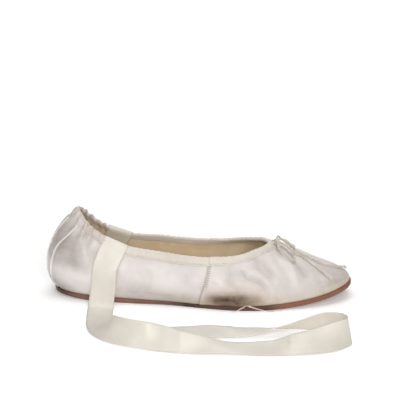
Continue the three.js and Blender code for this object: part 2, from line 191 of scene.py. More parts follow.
def sole_plain(x):
    x = np.asarray(x, float)
    heel = np.clip((HEEL_ROLL_TO - x) / HEEL_ROLL_TO, 0, None)
    arch = np.clip((x - ARCH_FROM) / (ARCH_TO - ARCH_FROM), 0, 1)
    toe = np.clip((x - TOE_FROM) / (TOE_TO - TOE_FROM), 0, None)
    return (
        HEEL_ROLL_RISE * heel**HEEL_ROLL_POWER
        + ARCH_RISE * np.sin(np.pi * arch) ** 2
        + TOE_RISE * toe**TOE_POWER
    )


def wall(u, v):
    """The plain outer face of the upper."""
    u, v = np.broadcast_arrays(np.asarray(u, float), np.asarray(v, float))
    r, s = last(u), last(u, 1)
    fl, tl = np.hypot(s[..., 0], s[..., 1]), np.hypot(s[..., 2], s[..., 3])
    back = heel_share(u)
    x, full = r[..., 0] - HEEL_BACK * back, r[..., 5] - HEEL_FLAT * back
    p0 = np.stack([r[..., 0], r[..., 1], sole_plain(x) + SOLE_THICK + GAP], -1)
    p3 = r[..., 2:5]
    p1 = p0 + np.stack([s[..., 1] / fl * full, -s[..., 0] / fl * full, r[..., 6]], -1)
    p0[..., 0] = x
    p0[..., 2] += toe_worn(x) - skived(x)
    p2 = p3 + np.stack([s[..., 3] / tl * r[..., 7], -s[..., 2] / tl * r[..., 7], -r[..., 8]], -1)
    w = v[..., None]
    return (1 - w) ** 3 * p0 + 3 * w * (1 - w) ** 2 * p1 + 3 * w * w * (1 - w) * p2 + w**3 * p3


def unit(a):
    return a / np.maximum(np.linalg.norm(a, axis=-1, keepdims=True), 1e-12)


def wall_normal(u, v):
    e = 1e-4
    u, v = np.broadcast_arrays(np.asarray(u, float), np.asarray(v, float))
    du = wall(u + e, v) - wall(u - e, v)
    dv = wall(u, np.minimum(1, v + e)) - wall(u, np.maximum(0, v - e))
    return unit(np.cross(du, dv))


def stretch(u, v):
    """Millimetres along the wall for a whole turn of u, here."""
    e = 1e-4
    return np.linalg.norm(wall(np.asarray(u) + e, v) - wall(np.asarray(u) - e, v), axis=-1) / (2 * e)


def smooth(a, b, x):
    t = np.clip((np.asarray(x, float) - a) / (b - a), 0, 1)
    return t * t * (3 - 2 * t)


def turn(u):
    """u counted from the back of the heel both ways, -0.5 to 0.5."""
    u = np.asarray(u, float)
    return u - np.floor(u + 0.5)


def waves(points, longest, shortest, count, seed):
    """Smooth noise: waves of those lengths in all directions, about -1 to 1."""
    r = np.random.RandomState(seed)
    total = np.zeros(points.shape[:-1])
    for _ in range(count):
        d = unit(r.normal(size=3))
        length = shortest * (longest / shortest) ** r.uniform()
        total += np.cos(points @ d * 2 * np.pi / length + r.uniform(0, 2 * np.pi))
    return total / math.sqrt(count)


# rim: distance along the collar from the back of the heel, and heights below it
RIM_U = np.arange(4001) / 4000
RIM_P = wall(RIM_U, 1.0)
RIM_S = np.concatenate([[0.0], np.cumsum(np.linalg.norm(np.diff(RIM_P, axis=0), axis=1))])
RIM_LONG = RIM_S[-1]


def rim_s(u):
    u = np.asarray(u, float)
    return np.interp(u - np.floor(u), RIM_U, RIM_S) + np.floor(u) * RIM_LONG


def rim_u(s):
    s = np.asarray(s, float)
    return np.interp(s % RIM_LONG, RIM_S, RIM_U)


def v_below(u, down):
    """v at a distance down the wall from the collar, for a list of u and one distance each or for all."""
    u = np.atleast_1d(np.asarray(u, float))
    down = np.broadcast_to(np.asarray(down, float), u.shape)
    vs = np.linspace(1.0, 0.4, 121)
    p = wall(u[:, None], vs[None, :])
    s = np.concatenate(
        [np.zeros((len(u), 1)), np.cumsum(np.linalg.norm(np.diff(p, axis=1), axis=2), axis=1)], axis=1
    )
    return np.array([np.interp(d, row, vs) for d, row in zip(down, s)])


# ------------------------------------------------------------------ seams on the upper
# v, u of the side seam between quarter and vamp, outer side
SEAM_V = [0.0, 0.155, 0.30, 0.435, 0.60, 0.81, 1.0]
SEAM_U = [0.2398, 0.2425, 0.2446, 0.2466, 0.2482, 0.2490, 0.2500]
# v, half width in u of the counter round the heel
COUNTER_V = [0.0, 0.30, 0.45, 0.66, 0.78, 0.90, 1.0]
COUNTER_U = [0.0168, 0.0165, 0.0170, 0.0195, 0.0255, 0.0310, 0.0330]
HEEL_STRIP_HALF = 5.2


def through(x, xs, ys):
    """A smooth curve through a short table."""
    xs, ys = np.asarray(xs, float), np.asarray(ys, float)
    m = np.gradient(ys, xs)
    x = np.clip(np.asarray(x, float), xs[0], xs[-1])
    i = np.clip(np.searchsorted(xs, x) - 1, 0, len(xs) - 2)
    h = xs[i + 1] - xs[i]
    t = (x - xs[i]) / h
    return (
        (2 * t**3 - 3 * t**2 + 1) * ys[i]
        + (t**3 - 2 * t**2 + t) * h * m[i]
        + (-2 * t**3 + 3 * t**2) * ys[i + 1]
        + (t**3 - t**2) * h * m[i + 1]
    )


def inner_seam_table():
    """The inner side's seam is at the same places along the shoe."""
    us = np.linspace(0.62, 0.90, 1401)
    out = []
    for v, u in zip(SEAM_V, SEAM_U):
        x = wall(us, v)[:, 0]
        out.append(float(np.interp(-wall(u, v)[0], -x, us)))
    return out


INNER_SEAM_U = inner_seam_table()


def seam_outer(v):
    return through(v, SEAM_V, SEAM_U)


def seam_inner(v):
    return through(v, SEAM_V, INNER_SEAM_U)


def counter(v):
    return through(v, COUNTER_V, COUNTER_U)


def seam_gaps(u, v):
    """Distances in mm from the side seams, plus on the vamp, and from the counter's edge, plus on the counter."""
    k = stretch(u, v)
    f = np.asarray(u, float) - np.floor(u)
    return (f - seam_outer(v)) * k, (seam_inner(v) - f) * k, (counter(v) - np.abs(turn(u))) * k


# ------------------------------------------------------------------ creases
# Each row: half width and height in mm (minus is a trough), then the (u, v) it runs through.
CREASES = [
    # vamp, outer side: folds that run down from the throat
    (3.0, 1.15, [(0.468, 0.92), (0.451, 0.875), (0.436, 0.81), (0.4205, 0.665), (0.413, 0.56), (0.406, 0.46), (0.397, 0.285)]),
    (4.2, -0.95, [(0.467, 0.81), (0.452, 0.72), (0.439, 0.60), (0.4255, 0.47), (0.416, 0.34)]),
    (4.8, -1.35, [(0.362, 0.88), (0.355, 0.76), (0.3535, 0.66), (0.3545, 0.58), (0.359, 0.48), (0.3675, 0.405)]),
    (2.9, 1.0, [(0.318, 0.78), (0.325, 0.715), (0.3325, 0.625), (0.343, 0.525), (0.3475, 0.43), (0.350, 0.345), (0.3525, 0.23)]),
    (2.7, -1.15, [(0.3035, 0.73), (0.309, 0.66), (0.315, 0.56), (0.327, 0.49), (0.3395, 0.39), (0.345, 0.295), (0.3495, 0.195)]),
    (3.8, 0.7, [(0.388, 0.84), (0.381, 0.68), (0.380, 0.52), (0.384, 0.36)]),
    (3.0, -0.55, [(0.410, 0.80), (0.400, 0.66), (0.394, 0.52), (0.391, 0.38)]),
    (4.0, -0.85, [(0.287, 0.80), (0.281, 0.64), (0.281, 0.48), (0.287, 0.36)]),
    (2.8, 0.55, [(0.297, 0.84), (0.294, 0.70), (0.293, 0.56)]),
    (2.6, 0.45, [(0.263, 0.78), (0.263, 0.60), (0.266, 0.44)]),
    # top of the vamp and the toe
    (4.5, 0.6, [(0.488, 0.84), (0.486, 0.66), (0.474, 0.46), (0.462, 0.32)]),
    (4.0, -0.5, [(0.520, 0.82), (0.526, 0.66), (0.530, 0.48)]),
    (4.5, 0.55, [(0.548, 0.86), (0.556, 0.68), (0.560, 0.48), (0.558, 0.32)]),
    (3.0, -0.4, [(0.455, 0.22), (0.478, 0.26), (0.502, 0.25)]),
    # heel quarter, outer side: a dent with a fold in front of it
    (6.5, -1.9, [(0.022, 0.70), (0.030, 0.64), (0.038, 0.57), (0.046, 0.49)]),
    (4.6, -0.8, [(0.036, 0.80), (0.035, 0.70), (0.034, 0.58)]),
    (4.0, 1.6, [(0.045, 0.82), (0.053, 0.74), (0.060, 0.63), (0.067, 0.50)]),
    (4.5, -1.0, [(0.066, 0.82), (0.075, 0.72), (0.084, 0.60)]),
    (5.4, 1.5, [(0.030, 0.33), (0.050, 0.315), (0.071, 0.34), (0.093, 0.35)]),
    (4.6, -1.1, [(0.094, 0.60), (0.103, 0.52), (0.113, 0.48)]),
    # long soft hollows along the quarter
    (7.0, -0.25, [(0.136, 0.62), (0.154, 0.52), (0.172, 0.48)]),
    (6.0, 0.6, [(0.140, 0.74), (0.165, 0.70), (0.190, 0.66)]),
    (6.0, -0.5, [(0.196, 0.74), (0.206, 0.56), (0.206, 0.38)]),
    (6.0, 0.5, [(0.222, 0.72), (0.226, 0.52), (0.222, 0.34)]),
    (8.0, 0.55, [(0.112, 0.24), (0.145, 0.24), (0.180, 0.25)]),
    # inner side
    (4.2, -1.3, [(0.618, 0.86), (0.628, 0.70), (0.632, 0.54), (0.626, 0.36)]),
    (3.8, 0.9, [(0.596, 0.84), (0.604, 0.68), (0.608, 0.50), (0.604, 0.34)]),
    (3.8, 0.9, [(0.645, 0.82), (0.652, 0.64), (0.654, 0.46)]),
    (4.0, -0.9, [(0.672, 0.80), (0.680, 0.62), (0.680, 0.44)]),
    (5.5, -0.7, [(0.770, 0.72), (0.780, 0.54), (0.776, 0.36)]),
    (5.5, 0.6, [(0.806, 0.72), (0.812, 0.52), (0.808, 0.36)]),
    (6.0, -0.6, [(0.845, 0.66), (0.852, 0.50), (0.848, 0.34)]),
    (5.4, -1.5, [(0.972, 0.68), (0.962, 0.62), (0.954, 0.54), (0.948, 0.46)]),
    (4.0, 1.2, [(0.950, 0.79), (0.941, 0.71), (0.933, 0.63), (0.926, 0.54)]),
    (5.0, -0.8, [(0.916, 0.74), (0.914, 0.60), (0.912, 0.46)]),
    (6.0, 0.8, [(0.968, 0.32), (0.950, 0.34), (0.928, 0.31)]),
]
FOLD = 1.25  # all the rows' heights
GATHER_PITCH = 6.4  # of the puckers where the drawn-up collar goes round the heel

GRID_U, GRID_V = 1280, 161


def curve_through(points, count):
    p = np.asarray(points, float)
    p = np.vstack([2 * p[0] - p[1], p, 2 * p[-1] - p[-2]])
    t = np.linspace(0, len(p) - 3, count)
    i = np.minimum(t.astype(int), len(p) - 4)
    f = (t - i)[:, None]
    a, b, c, d = p[i], p[i + 1], p[i + 2], p[i + 3]
    return 0.5 * (2 * b + (c - a) * f + (2 * a - 5 * b + 4 * c - d) * f**2 + (3 * b - a - 3 * c + d) * f**3)


def soft_relief():
    """The cloth's folds as a height over the plain wall, on a grid of u and v."""
    u, v = np.meshgrid(np.arange(GRID_U) / GRID_U, np.linspace(0, 1, GRID_V), indexing="ij")
    p = wall(u, v)
    h = np.zeros_like(u)
    flat = p.reshape(-1, 3)
    out = h.reshape(-1)
    for half, high, points in CREASES:
        uv = curve_through(points, 70)
        q = wall(uv[:, 0], np.clip(uv[:, 1], 0, 1))
        near = np.all((flat > q.min(0) - 3 * half) & (flat < q.max(0) + 3 * half), axis=1)
        d2 = ((flat[near][:, None, :] - q[None]) ** 2).sum(-1)
        k = d2.argmin(1)
        t = k / 69.0
        fade = np.sin(np.pi * np.clip(0.06 + 0.88 * t, 0, 1)) ** 0.75
        out[near] += FOLD * high * fade * np.exp(-d2[np.arange(len(k)), k] / half**2)
    # slack between the folds
    h += 0.20 * waves(p, 34, 15, 26, 3) * smooth(0.03, 0.3, v)
    h += 0.055 * waves(p, 10, 5, 30, 5) * smooth(0.0, 0.15, v)
    # puckers under the drawn-up collar, deepest round the heel
    s = rim_s(u)
    away = np.abs(turn(u))
    wobble = 0.55 * np.cos(2 * np.pi * s / 31 + 0.6) + 0.4 * np.cos(2 * np.pi * s / 17.3 + 2.0)
    strength = 0.75 + 0.35 * np.cos(2 * np.pi * s / 23.7 + 1.0)
    heel = smooth(0.118, 0.070, away) * smooth(0.008, 0.02, away)
    for side in RIBBON_AT.values():
        heel *= 1 - 0.75 * np.exp(-((turn(u - side)) / 0.020) ** 2)
    rise = smooth(0.64, 0.90, v)
    h += 1.2 * heel * rise**1.6 * strength * np.cos(2 * np.pi * s / GATHER_PITCH + wobble)
    h -= 0.35 * heel * rise
    h += 0.13 * smooth(0.78, 0.94, v) * strength * np.cos(2 * np.pi * s / 4.3 + 1.7 * wobble) * (1 - heel)
    # small tucks where the cloth is drawn in over the toe's edge
    toe = smooth(0.36, 0.43, u) * smooth(0.64, 0.57, u)
    h += 0.22 * toe * smooth(0.16, 0.02, v) * np.cos(2 * np.pi * u * 560 / 4.6 + 2 * wobble)
    # held down at the sole's edge
    h *= 0.25 + 0.75 * smooth(0.0, 0.10, v)
    return h


RELIEF = soft_relief()


def relief(u, v):
    """Height of the folds at any u and v."""
    u, v = np.broadcast_arrays(np.asarray(u, float), np.asarray(v, float))
    x = (u - np.floor(u)) * GRID_U
    y = np.clip(v, 0, 1) * (GRID_V - 1)
    i, j = np.floor(x).astype(int) % GRID_U, np.minimum(y.astype(int), GRID_V - 2)
    a, b = x - np.floor(x), y - j
    k = (i + 1) % GRID_U
    return (
        (1 - a) * (1 - b) * RELIEF[i, j]
        + a * (1 - b) * RELIEF[k, j]
        + (1 - a) * b * RELIEF[i, j + 1]
        + a * b * RELIEF[k, j + 1]
    )


def seam_relief(u, v):
    """The turned edges at the seams and the cloth drawn in beside them."""
    u, v = np.broadcast_arrays(np.asarray(u, float), np.asarray(v, float))
    h = np.zeros(u.shape)
    outer, inner, back = seam_gaps(u, v)
    for gap, phase in ((outer, 0.0), (inner, 1.3)):
        lap = smooth(0.0, 0.55, gap) * np.exp(-((gap / 7.0) ** 2)) * (gap > 0)
        drawn = np.exp(-(((gap + 0.45) / 0.75) ** 2))
        tuck = np.exp(-np.abs(gap) / 4.5) * np.cos(2 * np.pi * v * 46 / 4.4 + phase + 2.2 * np.sin(9 * v))
        h += 0.55 * lap - 0.34 * drawn + 0.16 * tuck * smooth(0.0, 1.5, np.abs(gap))
    edge = np.exp(-(((back - 0.55) / 0.62) ** 2))
    inside = smooth(0.0, 0.7, back) * np.exp(-((np.maximum(back, 0) / 9.0) ** 2))
    drawn = np.exp(-(((back + 0.75) / 0.95) ** 2))
    fade = smooth(0.97, 0.78, v)
    h += fade * (0.55 * edge + 0.30 * inside - 0.42 * drawn)
    return h


def skin(u, v, off=0.0, share=1.0):
    """The upper's outer face with its folds, off millimetres out from it."""
    v = np.clip(v, 0, 1)
    u, v = np.broadcast_arrays(np.asarray(u, float), np.asarray(v, float))
    h = share * (relief(u, v) + seam_relief(u, v)) + off
    return wall(u, v) + wall_normal(u, v) * h[..., None]


# ------------------------------------------------------------------ meshes
def mm(p):
    return (np.asarray(p, float) - ORIGIN) * 0.001


def quads(rows, cols, wrap_rows=False, wrap_cols=False):
    i, j = np.meshgrid(
        np.arange(rows if wrap_rows else rows - 1), np.arange(cols if wrap_cols else cols - 1), indexing="ij"
    )
    i, j = i.ravel(), j.ravel()
    i2, j2 = i + 1, j + 1
    corner_rows = np.stack([i, i, i2, i2], 1)
    corner_cols = np.stack([j, j2, j2, j], 1)
    return (corner_rows % rows) * cols + corner_cols % cols, corner_rows, corner_cols


def piece(name, points, faces, material, nodes=(), uv=None, marks=None, weld=0.0, flat=False):
    """A mesh piece in the shared frame, riding on the shoe."""
    me = bpy.data.meshes.new(name)
    if not isinstance(faces, list):
        faces = faces.tolist()
    me.from_pydata(mm(points).tolist(), [], faces)
    if uv is not None:
        layer = me.uv_layers.new(name="cloth")
        layer.data.foreach_set("uv", np.asarray(uv, np.float32).ravel())
    for key, values in (marks or {}).items():
        a = me.attributes.new(key, "FLOAT", "POINT")
        a.data.foreach_set("value", np.asarray(values, np.float32).ravel())
    bm = bmesh.new()
    bm.from_mesh(me)
    if weld:
        bmesh.ops.remove_doubles(bm, verts=bm.verts, dist=weld * 0.001)
        bmesh.ops.dissolve_degenerate(bm, edges=bm.edges, dist=1e-7)
    bmesh.ops.recalc_face_normals(bm, faces=bm.faces)
    for f in bm.faces:
        f.smooth = not flat
    bm.to_mesh(me)
    bm.free()
    o = bpy.data.objects.new(name, me)
    scene.collection.objects.link(o)
    me.materials.append(material)
    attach(o, "root")
    if nodes:
        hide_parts(*nodes)
    return o


def joined(parts):
    """Several (points, faces, ...) as one set of points and faces."""
    points, faces, n = [], [], 0
    for p, f in parts:
        points.append(np.asarray(p, float).reshape(-1, 3))
        faces += [[int(k) + n for k in face] for face in f]
        n += len(points[-1])
    return np.vstack(points), faces


def frames_along(path, closed=False):
    """Two directions square to a path at each point, turning as little as they can."""
    p = np.asarray(path, float)
    way = np.roll(p, -1, 0) - np.roll(p, 1, 0) if closed else np.gradient(p, axis=0)
    way = unit(way)
    side = np.zeros_like(p)
    first = np.cross(way[0], [0, 0, 1.0])
    if np.linalg.norm(first) < 0.1:
        first = np.cross(way[0], [1.0, 0, 0])
    side[0] = unit(first)
    for k in range(1, len(p)):
        s = side[k - 1] - way[k] * (side[k - 1] @ way[k])
        side[k] = unit(s)
    if closed:  # spread what is left over round the loop
        s = side[-1] - way[0] * (side[-1] @ way[0])
        s = unit(s)
        left = math.atan2(np.cross(s, side[0]) @ way[0], s @ side[0])
        a = left * np.arange(len(p)) / len(p)
        other = np.cross(way, side)
        side = side * np.cos(a)[:, None] + other * np.sin(a)[:, None]
    return way, side, np.cross(way, side)


def cord_tube(path, radius, sides=16, plies=3, pitch=6.0, depth=0.13, closed=False, taper=None):
    """A twisted cord along a path: points, faces and corner (turn, length) for its weave."""
    p = np.asarray(path, float)
    way, side, other = frames_along(p, closed)
    gone = np.concatenate([[0.0], np.cumsum(np.linalg.norm(np.diff(p, axis=0), axis=1))])
    a = np.arange(sides) * 2 * np.pi / sides
    lobes = np.cos(plies * (a[None, :] - 2 * np.pi * gone[:, None] / (pitch * plies)))
    r = radius * (1 - depth + depth * lobes)
    if taper is not None:
        r = r * taper(gone, gone[-1])[:, None]
    ring = (
        p[:, None]
        + side[:, None] * (r * np.cos(a))[..., None]
        + other[:, None] * (r * np.sin(a))[..., None]
    )
    f, fr, fc = quads(len(p), sides, closed, True)
    faces = f.tolist()
    uv = np.stack([fc * (2 * np.pi * radius / sides), gone[np.minimum(fr, len(p) - 1)]], -1).reshape(-1, 2).tolist()
    points = ring.reshape(-1, 3)
    if not closed:
        n = len(points)
        points = np.vstack([points, p[0] - way[0] * radius * 0.35, p[-1] + way[-1] * radius * 0.35])
        for k in range(sides):
            faces.append([n, (k + 1) % sides, k])
            uv += [[0, 0]] * 3
        e = (len(p) - 1) * sides
        for k in range(sides):
            faces.append([n + 1, e + k, e + (k + 1) % sides])
            uv += [[0, gone[-1]]] * 3
    return points, faces, np.array(uv)


def evenly(path, step):
    """The same line with points a step apart."""
    p = np.asarray(path, float)
    s = np.concatenate([[0.0], np.cumsum(np.linalg.norm(np.diff(p, axis=0), axis=1))])
    n = max(2, int(round(s[-1] / step)) + 1)
    t = np.linspace(0, s[-1], n)
    return np.stack([np.interp(t, s, p[:, c]) for c in range(3)], 1)


def spline3(points, ts):
    """The centripetal curve through points at shares ts, as the solids have it."""
    p = np.asarray(points, float)
    n = len(p)
    whole = (n - 1) * np.asarray(ts, float)
    i = np.minimum(whole.astype(int), n - 2)
    w = (whole - i)[:, None]
    before = np.vstack([2 * p[0] - p[1], p[:-1]])
    after = np.vstack([p[1:], 2 * p[-1] - p[-2]])
    x0, x1, x2 = before[i], p[i], p[i + 1]
    x3 = after[i + 1]
    gap = lambda a, b: np.maximum((((a - b) ** 2).sum(1)) ** 0.25, 1e-4)[:, None]
    d0, d1, d2 = gap(x0, x1), gap(x1, x2), gap(x2, x3)
    t1 = ((x1 - x0) / d0 - (x2 - x0) / (d0 + d1) + (x2 - x1) / d1) * d1
    t2 = ((x2 - x1) / d1 - (x3 - x1) / (d1 + d2) + (x3 - x2) / d2) * d1
    return x1 + t1 * w + (-3 * x1 + 3 * x2 - 2 * t1 - t2) * w**2 + (2 * x1 - 2 * x2 + t1 + t2) * w**3


# ------------------------------------------------------------------ materials
def lin(r, g, b):
    """A colour as seen on a screen, 0 to 255, for a shader."""
    f = lambda c: c / 255 / 12.92 if c / 255 <= 0.04045 else ((c / 255 + 0.055) / 1.055) ** 2.4
    return (f(r), f(g), f(b), 1.0)


class Finish:
    """A node material with short ways to add to it."""

    def __init__(self, name, roughness, **sockets):
        self.m = bpy.data.materials.new(name)
        self.m.use_nodes = True
        self.t = self.m.node_tree
        self.b = next(n for n in self.t.nodes if n.type == "BSDF_PRINCIPLED")
        self.b.inputs["Roughness"].default_value = roughness
        for k, v in sockets.items():
            self.b.inputs[k.replace("_", " ")].default_value = v

    def put(self, socket, value):
        if hasattr(value, "links"):
            self.t.links.new(value, socket)
        else:
            socket.default_value = value

    def place(self, uv=False, scale=(1, 1, 1), turn=(0, 0, 0)):
        c = self.t.nodes.new("ShaderNodeTexCoord")
        m = self.t.nodes.new("ShaderNodeMapping")
        m.inputs["Scale"].default_value = scale
        m.inputs["Rotation"].default_value = turn
        self.t.links.new(c.outputs["UV" if uv else "Object"], m.inputs["Vector"])
        return m.outputs["Vector"]

    def mark(self, name):
        n = self.t.nodes.new("ShaderNodeAttribute")
        n.attribute_name = name
        return n.outputs["Fac"]

    def noise(self, scale, detail=3.0, rough=0.55, at=None, distort=0.0):
        n = self.t.nodes.new("ShaderNodeTexNoise")
        n.inputs["Scale"].default_value = scale
        n.inputs["Detail"].default_value = detail
        n.inputs["Roughness"].default_value = rough
        n.inputs["Distortion"].default_value = distort
        self.t.links.new(at or self.place(), n.inputs["Vector"])
        return n.outputs["Fac"]

    def bands(self, scale, at, along="X", distort=0.0):
        n = self.t.nodes.new("ShaderNodeTexWave")
        n.wave_type, n.bands_direction = "BANDS", along
        n.inputs["Scale"].default_value = scale
        n.inputs["Distortion"].default_value = distort
        self.t.links.new(at, n.inputs["Vector"])
        return n.outputs["Fac"]

    def cells(self, scale, at=None, feature="F1"):
        n = self.t.nodes.new("ShaderNodeTexVoronoi")
        n.feature = feature
        n.inputs["Scale"].default_value = scale
        self.t.links.new(at or self.place(), n.inputs["Vector"])
        return n.outputs["Distance"]

    def span(self, value, a, b, c=0.0, d=1.0):
        n = self.t.nodes.new("ShaderNodeMapRange")
        n.interpolation_type = "SMOOTHSTEP"
        self.put(n.inputs["Value"], value)
        for key, x in zip(("From Min", "From Max", "To Min", "To Max"), (a, b, c, d)):
            n.inputs[key].default_value = x
        return n.outputs["Result"]

    def sum(self, kind, a, b, clamp=False):
        n = self.t.nodes.new("ShaderNodeMath")
        n.operation, n.use_clamp = kind, clamp
        self.put(n.inputs[0], a)
        self.put(n.inputs[1], b)
        return n.outputs[0]

    def mix(self, share, a, b, kind="MIX"):
        n = self.t.nodes.new("ShaderNodeMix")
        n.data_type, n.blend_type = "RGBA", kind
        self.put(n.inputs[0], share)
        self.put(n.inputs[6], a)
        self.put(n.inputs[7], b)
        return n.outputs[2]

    def bump(self, height, far, strength=1.0, under=None):
        n = self.t.nodes.new("ShaderNodeBump")
        n.inputs["Strength"].default_value = strength
        n.inputs["Distance"].default_value = far
        self.t.links.new(height, n.inputs["Height"])
        if under is not None:
            self.t.links.new(under, n.inputs["Normal"])
        return n.outputs["Normal"]

    def done(self, color=None, normal=None, roughness=None):
        if color is not None:
            self.put(self.b.inputs["Base Color"], color)
        if normal is not None:
            self.t.links.new(normal, self.b.inputs["Normal"])
        if roughness is not None:
            self.t.links.new(roughness, self.b.inputs["Roughness"])
        return self.m


def satin(name, shade, light, gloss=0.40, warm=None, worn_and_shaded=False):
    f = Finish(
        name,
        gloss,
        Specular_IOR_Level=0.42,
        Sheen_Weight=0.18,
        Sheen_Roughness=0.38,
        Sheen_Tint=(1.0, 0.97, 0.95, 1.0),
        Anisotropic=0.35,
    )
    cloth = f.place(uv=True)
    soft = f.noise(26, 3, 0.5)
    fine = f.noise(420, 2, 0.6, f.place(uv=True, scale=(0.001, 0.0002, 1)))
    color = f.mix(f.span(soft, 0.32, 0.70), shade, light)
    color = f.mix(f.sum("MULTIPLY", f.span(fine, 0.35, 0.8), 0.10), color, warm or light)
    if worn_and_shaded:
        # noise that breaks up the stain, the tinge, the soiling and the painted shade
        blotch = f.noise(95, 5, 0.62)
        streak = f.noise(240, 3, 0.6, f.place(scale=(0.35, 1, 1.6)))
        broken = f.span(f.sum("ADD", f.sum("MULTIPLY", blotch, 0.62), f.sum("MULTIPLY", streak, 0.38)), 0.28, 0.72, 0.66, 1.25)
        halo = f.sum("MULTIPLY", f.mark("halo"), broken, True)
        core = f.sum("MULTIPLY", f.mark("stain"), broken, True)
        edge = f.sum("MULTIPLY", f.mark("edge"), broken, True)
        dirt_and_shade = f.sum("MULTIPLY", f.mark("dirt_and_shade"), broken, True)
        tone_and_shade = f.sum("MULTIPLY", f.mark("tone_and_shade"), broken, True)
        # painted shade in the troughs of the folds and over the front of the vamp, with a little random tone
        color = f.mix(tone_and_shade, color, lin(196, 186, 180))
        # grey soiling mixed with painted shade: hollows, the heel and the low quarter
        color = f.mix(dirt_and_shade, color, lin(158, 150, 143))
        color = f.mix(edge, color, lin(203, 187, 158))
        color = f.mix(halo, color, lin(168, 138, 104))
        color = f.mix(core, color, lin(66, 44, 28))
        # painted highlight on raised edges, on the heel's ledge and along the quarter
        color = f.mix(f.mark("painted_highlight"), color, lin(240, 237, 235))
    weave = f.sum(
        "ADD", f.bands(0.55, cloth, "X", 0.6), f.sum("MULTIPLY", f.bands(0.16, cloth, "Y", 1.5), 0.6)
    )
    low = f.bump(weave, 0.00003, 0.55)
    crinkle = f.noise(150, 4, 0.55)
    normal = f.bump(crinkle, 0.00035, 0.45, low)
    return f.done(color, normal, f.span(f.noise(60, 3, 0.5), 0.25, 0.75, gloss - 0.05, gloss + 0.10))


def leather(name, dark, light, gloss, grain, deep, scuffs=None):
    f = Finish(name, gloss, Specular_IOR_Level=0.4)
    tone = f.noise(34, 5, 0.6)
    color = f.mix(f.span(tone, 0.28, 0.72), dark, light)
    pores = f.cells(grain)
    color = f.mix(f.span(pores, 0.0, 0.45, 0.22, 0.0), color, dark)
    if scuffs:
        color = scuffs(f, color)
    normal = f.bump(f.sum("ADD", pores, f.sum("MULTIPLY", f.noise(grain * 0.7, 4, 0.6), 0.8)), deep, 0.6)
    return f.done(color, normal, f.span(f.noise(70, 4, 0.6), 0.3, 0.7, gloss - 0.08, gloss + 0.12))


def sole_marks(f, color):
    """Cut edge in layers, darker at the heel and through the waist, where it is partly stained and partly painted
    shadow, lighter where it is rubbed.
    """
    layers = f.noise(300, 4, 0.6, f.place(scale=(0.06, 0.06, 2.2)))
    color = f.mix(f.sum("MULTIPLY", f.span(layers, 0.42, 0.72), 0.45), color, lin(152, 118, 102))
    color = f.mix(f.mark("deep"), color, lin(58, 38, 32))
    color = f.mix(f.mark("warm"), color, lin(136, 90, 68))
    rubbed = f.span(f.noise(55, 6, 0.7), 0.46, 0.66)
    color = f.mix(f.sum("MULTIPLY", f.mark("tread"), rubbed), color, lin(178, 150, 126))
    return f.mix(f.sum("MULTIPLY", f.mark("tread"), f.span(f.noise(18, 5, 0.7), 0.5, 0.7, 0, 0.6)), color, lin(70, 52, 44))


def lining_marks(f, color):
    color = f.mix(f.mark("deep"), color, lin(200, 166, 120))
    return f.mix(f.sum("MULTIPLY", f.mark("tone_and_shade"), f.span(f.noise(70, 5, 0.65), 0.35, 0.7)), color, lin(236, 227, 204))


def insole_marks(f, color):
    tread = f.sum("MULTIPLY", f.mark("tread"), f.span(f.noise(48, 5, 0.6), 0.25, 0.75, 0.5, 1.0))
    color = f.mix(tread, color, lin(150, 124, 92))
    return f.mix(f.mark("deep"), color, lin(178, 150, 112))


def cotton(name, dark, light, gloss=0.72):
    f = Finish(name, gloss, Specular_IOR_Level=0.25, Sheen_Weight=0.25, Sheen_Roughness=0.5)
    cloth = f.place(uv=True)
    color = f.mix(f.span(f.noise(130, 4, 0.6), 0.3, 0.7), dark, light)
    twill = f.bands(0.42, f.place(uv=True, turn=(0, 0, math.radians(35))), "X", 0.8)
    color = f.mix(f.sum("MULTIPLY", f.span(twill, 0.0, 0.4, 1.0, 0.0), 0.18), color, dark)
    normal = f.bump(twill, 0.00012, 0.7, f.bump(f.noise(900, 3, 0.6), 0.0001, 0.5))
    return f.done(color, normal)


SATIN = satin("upper_satin", lin(213, 205, 202), lin(229, 223, 220), 0.40, lin(222, 213, 203), worn_and_shaded=True)
CASING = satin("casing_satin", lin(212, 204, 195), lin(227, 219, 210), 0.44, lin(223, 213, 199), worn_and_shaded=True)
RIBBON = satin("ribbon_satin", lin(211, 205, 194), lin(229, 223, 213), 0.32, lin(221, 213, 198))
LINING = leather("lining_leather", lin(224, 206, 176), lin(241, 231, 209), 0.52, 900, 0.00012, lining_marks)
INSOLE = leather("insole_leather", lin(198, 178, 144), lin(220, 204, 174), 0.5, 850, 0.00012, insole_marks)
SOLE = leather("outsole_leather", lin(96, 66, 56), lin(138, 101, 87), 0.56, 620, 0.0002, sole_marks)
CORD = cotton("drawstring_cotton", lin(193, 186, 173), lin(226, 220, 208))
THREAD = cotton("stitch_thread", lin(206, 196, 186), lin(228, 220, 210), 0.6)
SEAM_THREAD = cotton("seam_thread", lin(158, 146, 139), lin(188, 176, 169), 0.6)
FRAYED = cotton("frayed_thread", lin(224, 196, 190), lin(240, 216, 211), 0.7)

